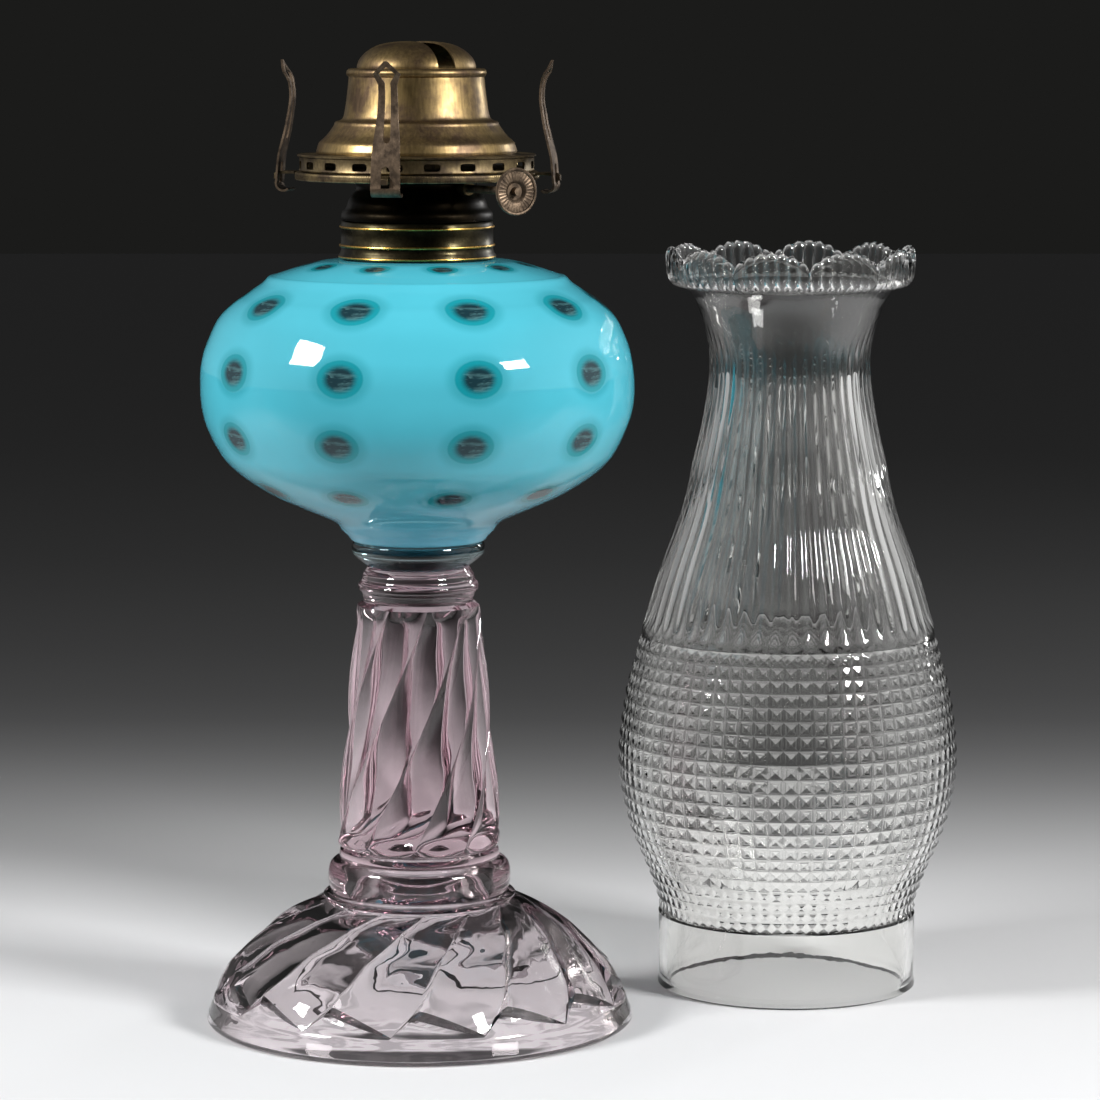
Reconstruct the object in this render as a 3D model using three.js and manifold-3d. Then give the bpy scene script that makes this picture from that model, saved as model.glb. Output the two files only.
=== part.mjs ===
// A kerosene table lamp of about 1900: a pressed glass foot and stem, a coin-dot glass font, a brass
// flat-wick burner with four sprung prongs, and its clear glass chimney standing beside it.
// Millimetres, +Z up. The lamp axis is the Z axis and the table is z = 0. Azimuths are turned from
// the front (-Y) towards the right (+X).
import * as THREE from "three";
import { mergeVertices } from "three/addons/utils/BufferGeometryUtils.js";
import Module from "manifold-3d";

const wasm = await Module();
wasm.setup();

const DEGREE = Math.PI / 180;
const FULL_TURN = 2 * Math.PI;

// Clearances and facets shared by the pieces
const SEAT_GAP = 0.3; // between a piece and the seat that carries it
const SHAFT_GAP = 0.08; // round the turning shaft
const OVERRUN = 4; // how far a cutting body passes through what it cuts
const COLUMNS = 28; // facets round a turned piece
const ROD_COLUMNS = 16; // facets round the shaft and what turns on it
const HOLE_COLUMNS = 12; // facets round a hole or a narrow tube

// Driving dimensions
const foot = {
  radius: 61.3,
  height: 35.7,
  bandHeight: 7.6,
  edge: 1.6,
  restWidth: 3.4,
  hollowHeight: 47,
  lobes: 14,
  grooveDepth: 2.5,
  grooveCurve: 2.4,
  crownDepth: 0.9,
  crownShare: 0.3,
  leafHeight: 7,
  leafFoot: 3.6,
  leafCurve: 1.7,
  leafDepth: 1.7,
  fade: 6,
  tipAzimuth: -5.9 * DEGREE,
  topRadius: 25.4,
};
const ringStack = {
  lipRadius: 27,
  lipHeight: 1.7,
  torusRadius: 26,
  torusHeight: 9.4,
  neckRadius: 22.7,
  neckHeight: 3.2,
};
const stem = {
  baseRadius: 23.9,
  topRadius: 17.9,
  height: 71,
  flutes: 10,
  fluteDepth: 2.4,
  fluteCurve: 0.8,
  twist: 88 * DEGREE,
  ridgeAzimuth: -5.3 * DEGREE,
};
const stemCollar = { radius: 17.2, topRadius: 14.7, height: 10.1 };
const wafer = { radius: 18.95, footRadius: 14.8, height: 6.9, bevel: 3.6 };
const font = {
  radius: 61.5,
  height: 75.1,
  wall: 3.7,
  floor: 9,
  shoulderRadius: 42.1,
  shoulderRise: 4.9,
  crownDrop: 0.5,
  seatRadius: 23.4,
  neckRadius: 19.4,
  neckHeight: 7.4,
  neckBore: 17,
};
const collar = {
  radius: 21.5,
  height: 10.5,
  flare: 0.6,
  bead: 0.5,
  beadWidth: 1.1,
  beadShares: [0.35, 0.84],
  wall: 0.7,
  threadRadius: 15.9,
  threadDepth: 7.6,
};
const screw = {
  pitch: 2.117,
  depth: 0.5,
  wall: 1.2,
  height: 7.2,
  flangeRadius: 19.8,
  flange: 0.4,
};
const burnerBody = {
  radius: 21.4,
  skirt: 1.8,
  shoulder: 6.8,
  neckRadius: 17.1,
  neckHeight: 4.9,
  flange: 1.7,
  sheet: 0.6,
  floorSheet: 0.6,
};
const gallery = {
  rimRadius: 34.4,
  rimInner: 30.5,
  rimHeight: 2.2,
  rimEdge: 0.35,
  bandRadius: 33,
  bandHeight: 3.8,
  sheet: 0.6,
  slots: 20,
  slotWidth: 4.6,
  slotHeight: 2.1,
  slotRise: 1.15,
  plateRadius: 33.2,
  plateInner: 27.3,
  plateSheet: 0.5,
};
const airPlate = {
  sheet: 0.6,
  holes: 14,
  holeRadius: 1.5,
  holeColumns: 6,
  innerRow: 21.5,
  outerRow: 27,
};
const wickSize = { width: 25, thickness: 2.5, floorGap: 15, tip: 1.2 };
const wickTube = { clearance: 0.4, sideClearance: 0.3, sheet: 0.5, height: 54, drop: 13 };
const ventTube = { radius: 2.4, bore: 1.9, drop: 7, rise: 5, offset: 8.4 };
const shaft = { radius: 1.1, wheelGap: 0.12, knobReach: 45.5, tail: 1.2 };
const spurWheel = { radius: 2.9, root: 2, teeth: 8, thickness: 0.7, count: 3, pitch: 7 };
const wheelBox = { wall: 0.5, room: 0.6, endRoom: 2 };
const sleeve = { radius: 1.9, length: 5 };
const knob = { radius: 6.55, thickness: 1, lip: 0.35, lipWidth: 0.8, dish: 0.9, dishRadius: 2.3 };
const deflector = {
  sheet: 0.5,
  baseRadius: 28.2,
  height: 23.6,
  beadRadius: 19.1,
  beadHeight: 2.2,
  mouthRadius: 16.9,
  skirt: 1.5,
  skirtGap: 0.4,
};
const cap = { height: 8, sheet: 0.5, flange: 1.1, skirt: 1.1, slotWidth: 6 };
const prong = {
  count: 4,
  radius: 39.9,
  bulge: 4,
  height: 37.3,
  width: 8.3,
  sheet: 0.6,
  hookRadius: 2.2,
  firstAzimuth: -10.8 * DEGREE,
  drop: 3.7,
};
const arm = { width: 6.6, sheet: 0.8, tongueWidth: 1.9, tongueDrop: 2.3 };
const chimney = {
  x: 108,
  y: 45.3,
  height: 220,
  fitterRadius: 38.1,
  fitterHeight: 19,
  bellyRadius: 50.6,
  neckRadius: 23.7,
  rimRadius: 36.7,
  bandHeight: 12,
  wall: 2.8,
  scallops: 10,
  scallopDepth: 5.6,
  scallopCurve: 0.6,
  notchAzimuth: 5.8 * DEGREE,
  neckShare: 0.89,
  bellyShare: 0.78,
  flareShares: [
    [0.2, 0.7],
    [0.42, 0.87],
  ],
};
const wickAzimuth = 32.5 * DEGREE;
const wheelReach = wickSize.thickness / 2 + SEAT_GAP + spurWheel.radius;

// Levels, from the table up
const ringBase = foot.height;
const stemBase = ringBase + ringStack.lipHeight + ringStack.torusHeight + ringStack.neckHeight;
const stemTop = stemBase + stem.height;
const collarTopOfStem = stemTop + stemCollar.height;
const waferBase = collarTopOfStem + SEAT_GAP;
const fontBase = waferBase + wafer.height + SEAT_GAP;
const fontShoulder = fontBase + font.height;
const fontCrown = fontShoulder + font.shoulderRise;
const collarBase = fontCrown + SEAT_GAP;
const collarTop = collarBase + collar.height;
const bodyBase = collarTop + SEAT_GAP;
const floorBase = bodyBase + screw.flange + SEAT_GAP;
const neckBase = bodyBase + burnerBody.skirt + burnerBody.shoulder;
const neckTop = neckBase + burnerBody.neckHeight;
const rimBase = neckTop - gallery.rimHeight;
const bandBase = neckTop + SEAT_GAP;
const plateBase = bandBase + gallery.bandHeight + SEAT_GAP;
const plateTop = plateBase + gallery.plateSheet;
const deflectorBase = plateTop + SEAT_GAP;
const deflectorTop = deflectorBase + deflector.height;
const shaftLevel = rimBase - shaft.radius - SEAT_GAP * 3;
const tubeBase = collarTop - wickTube.drop;
const tubeTop = tubeBase + wickTube.height;
const wickTop = tubeTop + wickSize.tip;
const wickBase = fontBase + font.floor + wickSize.floorGap;
const prongBase = rimBase - prong.drop;

// Materials
const standard = (color, roughness, metalness, opacity = 1) =>
  new THREE.MeshStandardMaterial({
    color,
    roughness,
    metalness,
    opacity,
    transparent: opacity < 1,
  });
const finish = {
  amethystGlass: standard("#c3aeb5", 0.05, 0, 0.55),
  waferGlass: standard("#93a5a6", 0.05, 0, 0.6),
  turquoiseGlass: standard("#5fc4d8", 0.08, 0),
  clearGlass: standard("#dfe3e1", 0.04, 0, 0.35),
  plaster: standard("#d8d1c0", 0.9, 0),
  oldBrass: standard("#8f7745", 0.4, 1),
  darkBrass: standard("#4b432f", 0.4, 1),
  bronzeSheet: standard("#6a5a48", 0.5, 1),
  cotton: standard("#e8e0cb", 0.95, 0),
};

// Solids and their booleans
function solidOf(geometry) {
  const bare = geometry.clone();
  bare.deleteAttribute("normal");
  bare.deleteAttribute("uv");
  const merged = mergeVertices(bare);
  return new wasm.Manifold(
    new wasm.Mesh({
      numProp: 3,
      vertProperties: merged.getAttribute("position").array,
      triVerts: new Uint32Array(merged.index.array),
    }),
  );
}

function geometryOf(body) {
  const { vertProperties, triVerts } = body.getMesh();
  const geometry = new THREE.BufferGeometry();
  geometry.setAttribute("position", new THREE.BufferAttribute(vertProperties, 3));
  geometry.setIndex(new THREE.BufferAttribute(triVerts, 1));
  geometry.computeVertexNormals();
  return geometry;
}

const joined = (...pieces) =>
  geometryOf(pieces.map(solidOf).reduce((whole, piece) => whole.add(piece)));
const cutBy = (piece, ...cutters) =>
  geometryOf(cutters.map(solidOf).reduce((rest, cutter) => rest.subtract(cutter), solidOf(piece)));
const common = (piece, other) => geometryOf(solidOf(piece).intersect(solidOf(other)));

// A body of revolution about +Z from [radius, height] points, listed upwards on the outside. A ring's
// outline closes on its first point.
function lathe(points, columns = COLUMNS) {
  const outline = points.map(([radius, height]) => new THREE.Vector2(radius, height));
  return new THREE.LatheGeometry(outline, columns).rotateX(Math.PI / 2);
}

const ring = (points, columns) => lathe([...points, points[0]], columns);
const tubeRing = (inner, outer, base, top, columns) =>
  ring([[inner, base], [outer, base], [outer, top], [inner, top]], columns);

// Points given as shares of a radius and a height above a base
const scaled = (shares, radius, height, base) =>
  shares.map(([across, up]) => [across * radius, base + up * height]);

// Moves each point of a body by its radius, azimuth and height
function reshape(geometry, move) {
  const place = geometry.getAttribute("position");
  for (let i = 0; i < place.count; i++) {
    const [x, y, z] = [place.getX(i), place.getY(i), place.getZ(i)];
    const [radius, azimuth, height] = move(Math.hypot(x, y), Math.atan2(x, -y), z);
    place.setXYZ(i, radius * Math.sin(azimuth), -radius * Math.cos(azimuth), height);
  }
  return geometry;
}

const block = (width, depth, height, x, y, z) =>
  new THREE.BoxGeometry(width, depth, height).translate(x, y, z);

// A rod along Y between two places, at a height
const rodAlongY = (radius, from, to, x, z, sides) =>
  new THREE.CylinderGeometry(radius, radius, to - from, sides).translate(x, (from + to) / 2, z);

// An outline of [across, up] points, standing upright and facing the front
function facing(points, holes, depth) {
  const shape = new THREE.Shape(points.map(([across, up]) => new THREE.Vector2(across, up)));
  for (const hole of holes)
    shape.holes.push(new THREE.Path(hole.map(([across, up]) => new THREE.Vector2(across, up))));
  return new THREE.ExtrudeGeometry(shape, { depth, bevelEnabled: false }).rotateX(Math.PI / 2);
}

// An outline of [outwards, up] points, seen edge on, with its width centred on the local front plane
function edgewise(points, width) {
  const shape = new THREE.Shape(points.map(([outwards, up]) => new THREE.Vector2(outwards, up)));
  return new THREE.ExtrudeGeometry(shape, { depth: width, bevelEnabled: false })
    .translate(0, 0, -width / 2)
    .rotateX(Math.PI / 2)
    .rotateZ(-Math.PI / 2);
}

// The closed outline of a bent sheet, from the points of its middle line
function sheetOutline(points, sheet) {
  const side = (sign) =>
    points.map(([x, y], i) => {
      const [x0, y0] = points[Math.max(i - 1, 0)];
      const [x1, y1] = points[Math.min(i + 1, points.length - 1)];
      const length = Math.hypot(x1 - x0, y1 - y0);
      const shift = (sign * sheet) / 2 / length;
      return [x - (y1 - y0) * shift, y + (x1 - x0) * shift];
    });
  return [...side(-1), ...side(1).reverse()];
}

const lamp = new THREE.Group();
const wickFrame = new THREE.Group();
wickFrame.rotation.z = wickAzimuth;
lamp.add(wickFrame);

function addPiece(name, geometry, material, parent = lamp) {
  const piece = new THREE.Mesh(geometry, material);
  piece.name = name;
  parent.add(piece);
  return piece;
}

// Pressed glass foot and stem, one piece: a swirled dome, three rings, a twisted fluted stem and its
// collar, hollow underneath where the plunger stood
const domeShares = [
  [0.963, 0],
  [0.913, 0.249],
  [0.91, 0.258],
  [0.856, 0.391],
  [0.811, 0.498],
  [0.763, 0.594],
  [0.7145, 0.687],
  [0.644, 0.79],
  [0.571, 0.883],
  [0.506, 0.95],
  [0.467, 0.986],
];
const hollowShares = [
  [0.97, 0.072],
  [0.924, 0.183],
  [0.844, 0.319],
  [0.728, 0.447],
  [0.586, 0.566],
  [0.426, 0.651],
  [0.329, 0.723],
  [0.259, 0.809],
  [0.213, 0.894],
  [0.16, 0.957],
  [0.089, 0.991],
  [0, 1],
];
const torusShares = [
  [0.93, 0],
  [0.99, 0.18],
  [1, 0.5],
  [0.99, 0.82],
  [0.93, 1],
];
const stemCollarShares = [
  [0.88, -0.08],
  [0.92, 0.2],
  [1, 0.44],
  [0.96, 0.7],
];

// Where the columns of a lobe stand, as shares of its width, and how far it has swept to the right at
// shares of the dome's height
const lobeShares = [0, 0.32, 0.66, 0.95];
const sweepShares = [
  [0, 0],
  [7.4 * DEGREE, 0.246],
  [14.9 * DEGREE, 0.62],
  [25.9 * DEGREE, 0.868],
  [31.9 * DEGREE, 0.94],
  [38.7 * DEGREE, 1],
];

// The value at a height, read off a run of [value, height] points
function readOff(points, height) {
  const above = points.findIndex((point) => point[1] >= height);
  if (above < 1) return points.at(above)[0];
  const [[value, low], [next, high]] = points.slice(above - 1, above + 1);
  return value + ((next - value) * (height - low)) / (high - low);
}

function footDome() {
  const domeHeight = foot.height - foot.bandHeight;
  const dome = [
    ...scaled(domeShares, foot.radius, domeHeight, foot.bandHeight),
    [foot.topRadius, foot.height],
  ];
  const outline = [
    [0, 0],
    [foot.radius - foot.edge, 0],
    [foot.radius, foot.edge],
    ...dome,
    [0, foot.height],
  ];
  const sweep = scaled(sweepShares, 1, domeHeight, foot.bandHeight);
  const columns = foot.lobes * lobeShares.length;
  const [, [, notch], [, ledge]] = dome;
  // Each lobe swells from its left edge and sinks into a groove at its right; a scooped leaf that falls
  // from its left to its right cuts its lower end
  return reshape(lathe(outline, columns), (radius, azimuth, height) => {
    if (height < 2 * foot.edge || radius < foot.topRadius - foot.edge) return [radius, azimuth, height];
    const column = Math.round((azimuth / FULL_TURN + 1) * columns);
    const across = lobeShares[column % lobeShares.length];
    const leafTop = foot.bandHeight + foot.leafHeight * (1 - across ** foot.leafCurve);
    const level = readOff([
      [foot.bandHeight + foot.leafFoot * (1 - across), foot.bandHeight],
      [leafTop, notch],
      [foot.height, foot.height],
    ], height);
    const rise = Math.min(foot.fade, level - leafTop, 2 * (foot.height - level)) / foot.fade;
    const crown = foot.crownDepth * Math.max(0, 1 - across / foot.crownShare) ** 2;
    const groove = (foot.grooveDepth * across ** foot.grooveCurve + crown) * Math.max(0, rise);
    const scoop = height > (notch + ledge) / 2 ? 0 : (height - foot.bandHeight) / (notch - foot.bandHeight);
    const leaf = foot.leafDepth * Math.sqrt(4 * across * (1 - across)) * scoop;
    const turn = foot.tipAzimuth + readOff(sweep, level);
    const lobe = Math.floor(column / lobeShares.length) + across;
    return [readOff(dome, level) - groove - leaf, turn + (lobe * FULL_TURN) / foot.lobes, level];
  });
}

function footHollow() {
  const inner = foot.radius - foot.edge - foot.restWidth;
  return lathe([
    [0, -OVERRUN],
    [inner, -OVERRUN],
    [inner, 0],
    ...scaled(hollowShares, inner, foot.hollowHeight, 0),
  ]);
}

function ringsAndCollar() {
  const torusBase = ringBase + ringStack.lipHeight;
  const neckRing = torusBase + ringStack.torusHeight;
  const core = stem.topRadius - 2 * stem.fluteDepth;
  return lathe([
    [0, foot.height - foot.edge],
    [ringStack.lipRadius, foot.height - foot.edge],
    [ringStack.lipRadius, torusBase],
    ...scaled(torusShares, ringStack.torusRadius, ringStack.torusHeight, torusBase),
    [ringStack.neckRadius, neckRing],
    [ringStack.neckRadius, stemBase],
    [core, stemBase + OVERRUN],
    [core, stemTop - OVERRUN],
    ...scaled(stemCollarShares, stemCollar.radius, stemCollar.height, stemTop),
    [stemCollar.topRadius, collarTopOfStem],
    [0, collarTopOfStem],
  ]);
}

// The stem's flutes are scoops between sharp ridges that climb to the right
const stemShares = [
  [0.94, 0],
  [1, 0.035],
  [0.943, 0.25],
  [0.88, 0.5],
  [0.812, 0.75],
  [0.753, 0.96],
  [0.7, 1],
];

function flutedStem() {
  const rows = scaled(stemShares, stem.baseRadius, stem.height, stemBase);
  const root = stemBase - ringStack.neckHeight / 2;
  const outline = [[0, root], [rows[0][0], root], ...rows, [0, stemTop]];
  return reshape(lathe(outline, stem.flutes * 3), (radius, azimuth, height) => {
    const climb = (height - stemBase) / stem.height;
    const scoop = Math.abs(Math.sin((stem.flutes * azimuth) / 2)) ** stem.fluteCurve;
    const fade = radius === 0 ? 0 : Math.min(1, climb * 8, (1 - climb) * 12);
    return [
      radius - stem.fluteDepth * scoop * Math.max(fade, 0),
      azimuth + stem.ridgeAzimuth + stem.twist * climb,
      height,
    ];
  });
}

addPiece(
  "pressed_foot",
  cutBy(joined(footDome(), ringsAndCollar(), flutedStem()), footHollow()),
  finish.amethystGlass,
);

// Glass wafer that fuses the stem to the font
addPiece(
  "font_wafer",
  lathe([
    [0, waferBase],
    [wafer.footRadius, waferBase],
    [wafer.radius, waferBase + wafer.bevel],
    [wafer.radius, waferBase + wafer.height],
    [0, waferBase + wafer.height],
  ]),
  finish.waferGlass,
);

// Blown font, open at the neck
const fontShares = [
  [0.311, 0],
  [0.361, 0.049],
  [0.421, 0.09],
  [0.673, 0.182],
  [0.841, 0.274],
  [0.928, 0.365],
  [0.979, 0.457],
  [1, 0.585],
  [0.985, 0.704],
  [0.93, 0.82],
  [0.837, 0.909],
  [0.72, 0.972],
];
const fontInsideShares = [
  [0.42, 0.012],
  [0.68, 0.09],
  [0.865, 0.22],
  [0.965, 0.38],
  [1, 0.55],
  [0.98, 0.71],
  [0.9, 0.85],
  [0.76, 0.95],
];
const fontInside = scaled(
  fontInsideShares,
  font.radius - font.wall,
  font.height - font.floor - font.wall,
  fontBase + font.floor,
).reverse();

addPiece(
  "font",
  lathe([
    [0, fontBase],
    ...scaled(fontShares, font.radius, font.height, fontBase),
    [font.shoulderRadius, fontShoulder],
    [font.seatRadius, fontCrown - font.crownDrop],
    [font.seatRadius - font.crownDrop, fontCrown],
    [font.neckRadius, fontCrown],
    [font.neckRadius, fontCrown + font.neckHeight],
    [font.neckBore, fontCrown + font.neckHeight],
    [font.neckBore, fontCrown - font.wall],
    ...fontInside,
    [0, fontBase + font.floor],
  ]),
  finish.turquoiseGlass,
);

// Brass collar with two beads, plastered over the glass neck
function collarOutline() {
  const { radius, bead, beadWidth, wall, flare, threadRadius, threadDepth } = collar;
  const roof = collarTop - wall;
  const beadAt = (level) => [
    [radius, level - beadWidth / 2],
    [radius + bead, level],
    [radius, level + beadWidth / 2],
  ];
  return [
    [radius - wall, collarBase],
    [radius + flare, collarBase],
    [radius + flare, collarBase + beadWidth],
    [radius, collarBase + 2 * beadWidth],
    ...collar.beadShares.flatMap((share) => beadAt(collarBase + collar.height * share)),
    [radius - wall / 2, collarTop],
    [threadRadius, collarTop],
    [threadRadius, collarTop - threadDepth],
    [threadRadius + wall, collarTop - threadDepth],
    [threadRadius + wall, roof],
    [radius - wall, roof],
  ];
}

addPiece("collar", ring(collarOutline()), finish.darkBrass);

const cementOuter = collar.radius - collar.wall - SEAT_GAP;
const cementInner = collar.threadRadius + collar.wall + SEAT_GAP;
const cementTop = collarTop - collar.wall - SEAT_GAP;
addPiece(
  "collar_cement",
  ring([
    [font.neckRadius + SEAT_GAP, fontCrown + SEAT_GAP],
    [cementOuter, fontCrown + SEAT_GAP],
    [cementOuter, cementTop],
    [cementInner, cementTop],
    [cementInner, fontCrown + font.neckHeight + SEAT_GAP],
    [font.neckRadius + SEAT_GAP, fontCrown + font.neckHeight + SEAT_GAP],
  ]),
  finish.plaster,
);

// Threaded skirt that screws into the collar, with its thread as round ridges
function screwOutline() {
  const crest = collar.threadRadius - SEAT_GAP;
  const root = crest - screw.depth;
  const inner = root - screw.wall;
  const base = bodyBase - screw.height;
  const turns = Math.floor(screw.height / screw.pitch);
  const ridges = [];
  for (let i = 0; i < turns; i++) {
    const level = base + (i + 0.5) * screw.pitch;
    ridges.push([root, level - screw.pitch / 4], [crest, level], [root, level + screw.pitch / 4]);
  }
  return [
    [inner, base],
    [root, base],
    ...ridges,
    [root, bodyBase],
    [screw.flangeRadius, bodyBase],
    [screw.flangeRadius, bodyBase + screw.flange],
    [inner, bodyBase + screw.flange],
  ];
}

addPiece("burner_screw", ring(screwOutline()), finish.oldBrass);

// Burner body: skirt, rounded shoulder and neck, drawn from one sheet
const shoulderShares = [
  [1, 0],
  [0.96, 0.3],
  [0.82, 0.55],
  [0.42, 0.84],
  [0, 1],
];

function bodyOutline() {
  const { radius, skirt, shoulder, neckRadius, flange, sheet } = burnerBody;
  const wallAt = (inset) =>
    shoulderShares.map(([across, up]) => [
      neckRadius - inset + across * (radius - neckRadius),
      bodyBase + skirt + up * shoulder,
    ]);
  return [
    [radius - sheet, bodyBase],
    [radius, bodyBase],
    ...wallAt(0),
    [neckRadius, neckTop - sheet],
    [neckRadius + flange, neckTop - sheet],
    [neckRadius + flange, neckTop],
    [neckRadius - sheet, neckTop],
    ...wallAt(sheet).reverse(),
  ];
}

const sleeveHole = rodAlongY(
  sleeve.radius + SEAT_GAP,
  -burnerBody.radius,
  0,
  wheelReach,
  shaftLevel,
  HOLE_COLUMNS,
).rotateZ(wickAzimuth);
addPiece("burner_body", cutBy(ring(bodyOutline()), sleeveHole), finish.darkBrass);

// Wick tube: a flat sheet tube with a window for each spur wheel
const tubeRoom = {
  width: wickSize.width + 2 * wickTube.clearance,
  depth: wickSize.thickness + 2 * wickTube.sideClearance,
};
const tubeWidth = tubeRoom.width + 2 * wickTube.sheet;
const tubeDepth = tubeRoom.depth + 2 * wickTube.sheet;
const tubeMiddle = tubeBase + wickTube.height / 2;
const wheelPlaces = Array.from(
  { length: spurWheel.count },
  (_, i) => (i - (spurWheel.count - 1) / 2) * spurWheel.pitch,
);
const windows = wheelPlaces.map((place) =>
  block(
    tubeDepth,
    spurWheel.thickness + 2 * SEAT_GAP,
    2 * (spurWheel.radius + SEAT_GAP),
    tubeDepth / 2,
    place,
    shaftLevel,
  ),
);
addPiece(
  "wick_tube",
  cutBy(
    block(tubeDepth, tubeWidth, wickTube.height, 0, 0, tubeMiddle),
    block(tubeRoom.depth, tubeRoom.width, wickTube.height + OVERRUN, 0, 0, tubeMiddle),
    ...windows,
  ),
  finish.oldBrass,
  wickFrame,
);

// Vent tube that lets the font breathe
addPiece(
  "vent_tube",
  tubeRing(
    ventTube.bore,
    ventTube.radius,
    floorBase - ventTube.drop,
    floorBase + ventTube.rise,
    HOLE_COLUMNS,
  ).translate(-ventTube.offset, 0, 0),
  finish.oldBrass,
  wickFrame,
);

// Floor of the burner, which the two tubes pass through
const plateHole = (base, sheet) =>
  block(tubeDepth + 2 * SEAT_GAP, tubeWidth + 2 * SEAT_GAP, sheet + OVERRUN, 0, 0, base + sheet / 2);
const floorRadius = burnerBody.radius - burnerBody.sheet - SEAT_GAP;
addPiece(
  "burner_floor",
  cutBy(
    lathe([
      [0, floorBase],
      [floorRadius, floorBase],
      [floorRadius, floorBase + burnerBody.floorSheet],
      [0, floorBase + burnerBody.floorSheet],
    ]),
    plateHole(floorBase, burnerBody.floorSheet),
    lathe([
      [0, floorBase - OVERRUN],
      [ventTube.radius + SEAT_GAP, floorBase - OVERRUN],
      [ventTube.radius + SEAT_GAP, floorBase + OVERRUN],
      [0, floorBase + OVERRUN],
    ], HOLE_COLUMNS).translate(-ventTube.offset, 0, 0),
  ),
  finish.oldBrass,
  wickFrame,
);

// Gallery: knurled rim, perforated air plate, slotted band and top plate
const { rimRadius, rimInner, rimEdge } = gallery;
addPiece(
  "gallery_rim",
  ring([
    [rimInner, rimBase],
    [rimRadius - rimEdge, rimBase],
    [rimRadius, rimBase + rimEdge],
    [rimRadius, neckTop - rimEdge],
    [rimRadius - rimEdge, neckTop],
    [rimInner, neckTop],
  ]),
  finish.oldBrass,
);

const airHoles = [airPlate.innerRow, airPlate.outerRow].flatMap((row) =>
  Array.from({ length: airPlate.holes }, (_, i) =>
    new THREE.CylinderGeometry(airPlate.holeRadius, airPlate.holeRadius, OVERRUN, airPlate.holeColumns)
      .rotateX(Math.PI / 2)
      .translate(0, row, bandBase)
      .rotateZ((i * FULL_TURN) / airPlate.holes),
  ),
);
const airRadius = gallery.bandRadius - gallery.sheet - SEAT_GAP;
addPiece(
  "air_plate",
  cutBy(
    lathe([
      [0, bandBase],
      [airRadius, bandBase],
      [airRadius, bandBase + airPlate.sheet],
      [0, bandBase + airPlate.sheet],
    ]),
    plateHole(bandBase, airPlate.sheet),
    ...airHoles,
  ),
  finish.oldBrass,
  wickFrame,
);

const slotCuts = Array.from({ length: gallery.slots / 2 }, (_, i) =>
  block(gallery.slotWidth, 2 * gallery.rimRadius, gallery.slotHeight, 0, 0, bandBase + gallery.slotRise)
    .rotateZ(((i + 0.5) * FULL_TURN) / gallery.slots),
);
addPiece(
  "gallery_band",
  cutBy(
    tubeRing(
      gallery.bandRadius - gallery.sheet,
      gallery.bandRadius,
      bandBase,
      bandBase + gallery.bandHeight,
      gallery.slots * 2,
    ),
    ...slotCuts,
  ),
  finish.oldBrass,
);
addPiece(
  "gallery_plate",
  tubeRing(gallery.plateInner, gallery.plateRadius, plateBase, plateTop),
  finish.oldBrass,
);

// Deflector bell: a skirt inside the top plate, a stepped flare, a bead and an inward lip
const bellShares = [
  [1, 0],
  [0.98, 0.11],
  [0.93, 0.2],
  [0.82, 0.335],
  [0.8, 0.375],
  [0.735, 0.425],
  [0.7, 0.58],
  [0.682, 0.78],
  [0.677, 0.905],
];

function bellOutline() {
  const { baseRadius, height, sheet, beadRadius, mouthRadius, skirt, skirtGap } = deflector;
  const wallAt = (inset) => scaled(bellShares, baseRadius, height, deflectorBase).map(
    ([radius, level]) => [radius - inset, level],
  );
  const skirtRadius = gallery.plateInner - skirtGap;
  const beadLow = deflectorTop - deflector.beadHeight;
  return [
    [skirtRadius - sheet, deflectorBase - skirt],
    [skirtRadius, deflectorBase - skirt],
    [skirtRadius, deflectorBase],
    ...wallAt(0),
    [beadRadius, beadLow + deflector.beadHeight / 3],
    [beadRadius - sheet, deflectorTop],
    [mouthRadius, deflectorTop],
    [mouthRadius, deflectorTop - sheet],
    [beadRadius - 2 * sheet, deflectorTop - sheet],
    ...wallAt(sheet).reverse().slice(0, -1),
    [skirtRadius - sheet, deflectorBase + sheet],
  ];
}

addPiece("deflector_bell", ring(bellOutline()), finish.oldBrass);

// Domed cap, with the flame slot across it over the wick
function capOutline() {
  const { height, sheet, flange, skirt } = cap;
  const radius = deflector.mouthRadius - SEAT_GAP;
  const base = deflectorTop - deflector.sheet - SEAT_GAP - skirt;
  const sphere = (radius ** 2 + height ** 2) / (2 * height);
  const steps = 5;
  const arc = (inset) =>
    Array.from({ length: steps }, (_, i) => {
      const reach = (Math.asin(radius / sphere) * (steps - i)) / steps;
      const middle = deflectorTop + height - sphere;
      return [(sphere - inset) * Math.sin(reach), middle + (sphere - inset) * Math.cos(reach)];
    });
  return [
    [radius - sheet, base],
    [radius + flange, base],
    [radius + flange, base + skirt],
    [radius, base + skirt],
    ...arc(0),
    [0, deflectorTop + height],
    [0, deflectorTop + height - sheet],
    ...arc(sheet).reverse(),
    [radius - sheet, base],
  ];
}

const slotMiddle = deflectorTop + cap.height / 2 + SEAT_GAP;
addPiece(
  "deflector_cap",
  cutBy(
    lathe(capOutline()),
    block(cap.slotWidth, 2 * deflector.baseRadius, cap.height, 0, 0, slotMiddle),
  ),
  finish.oldBrass,
  wickFrame,
);

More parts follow.
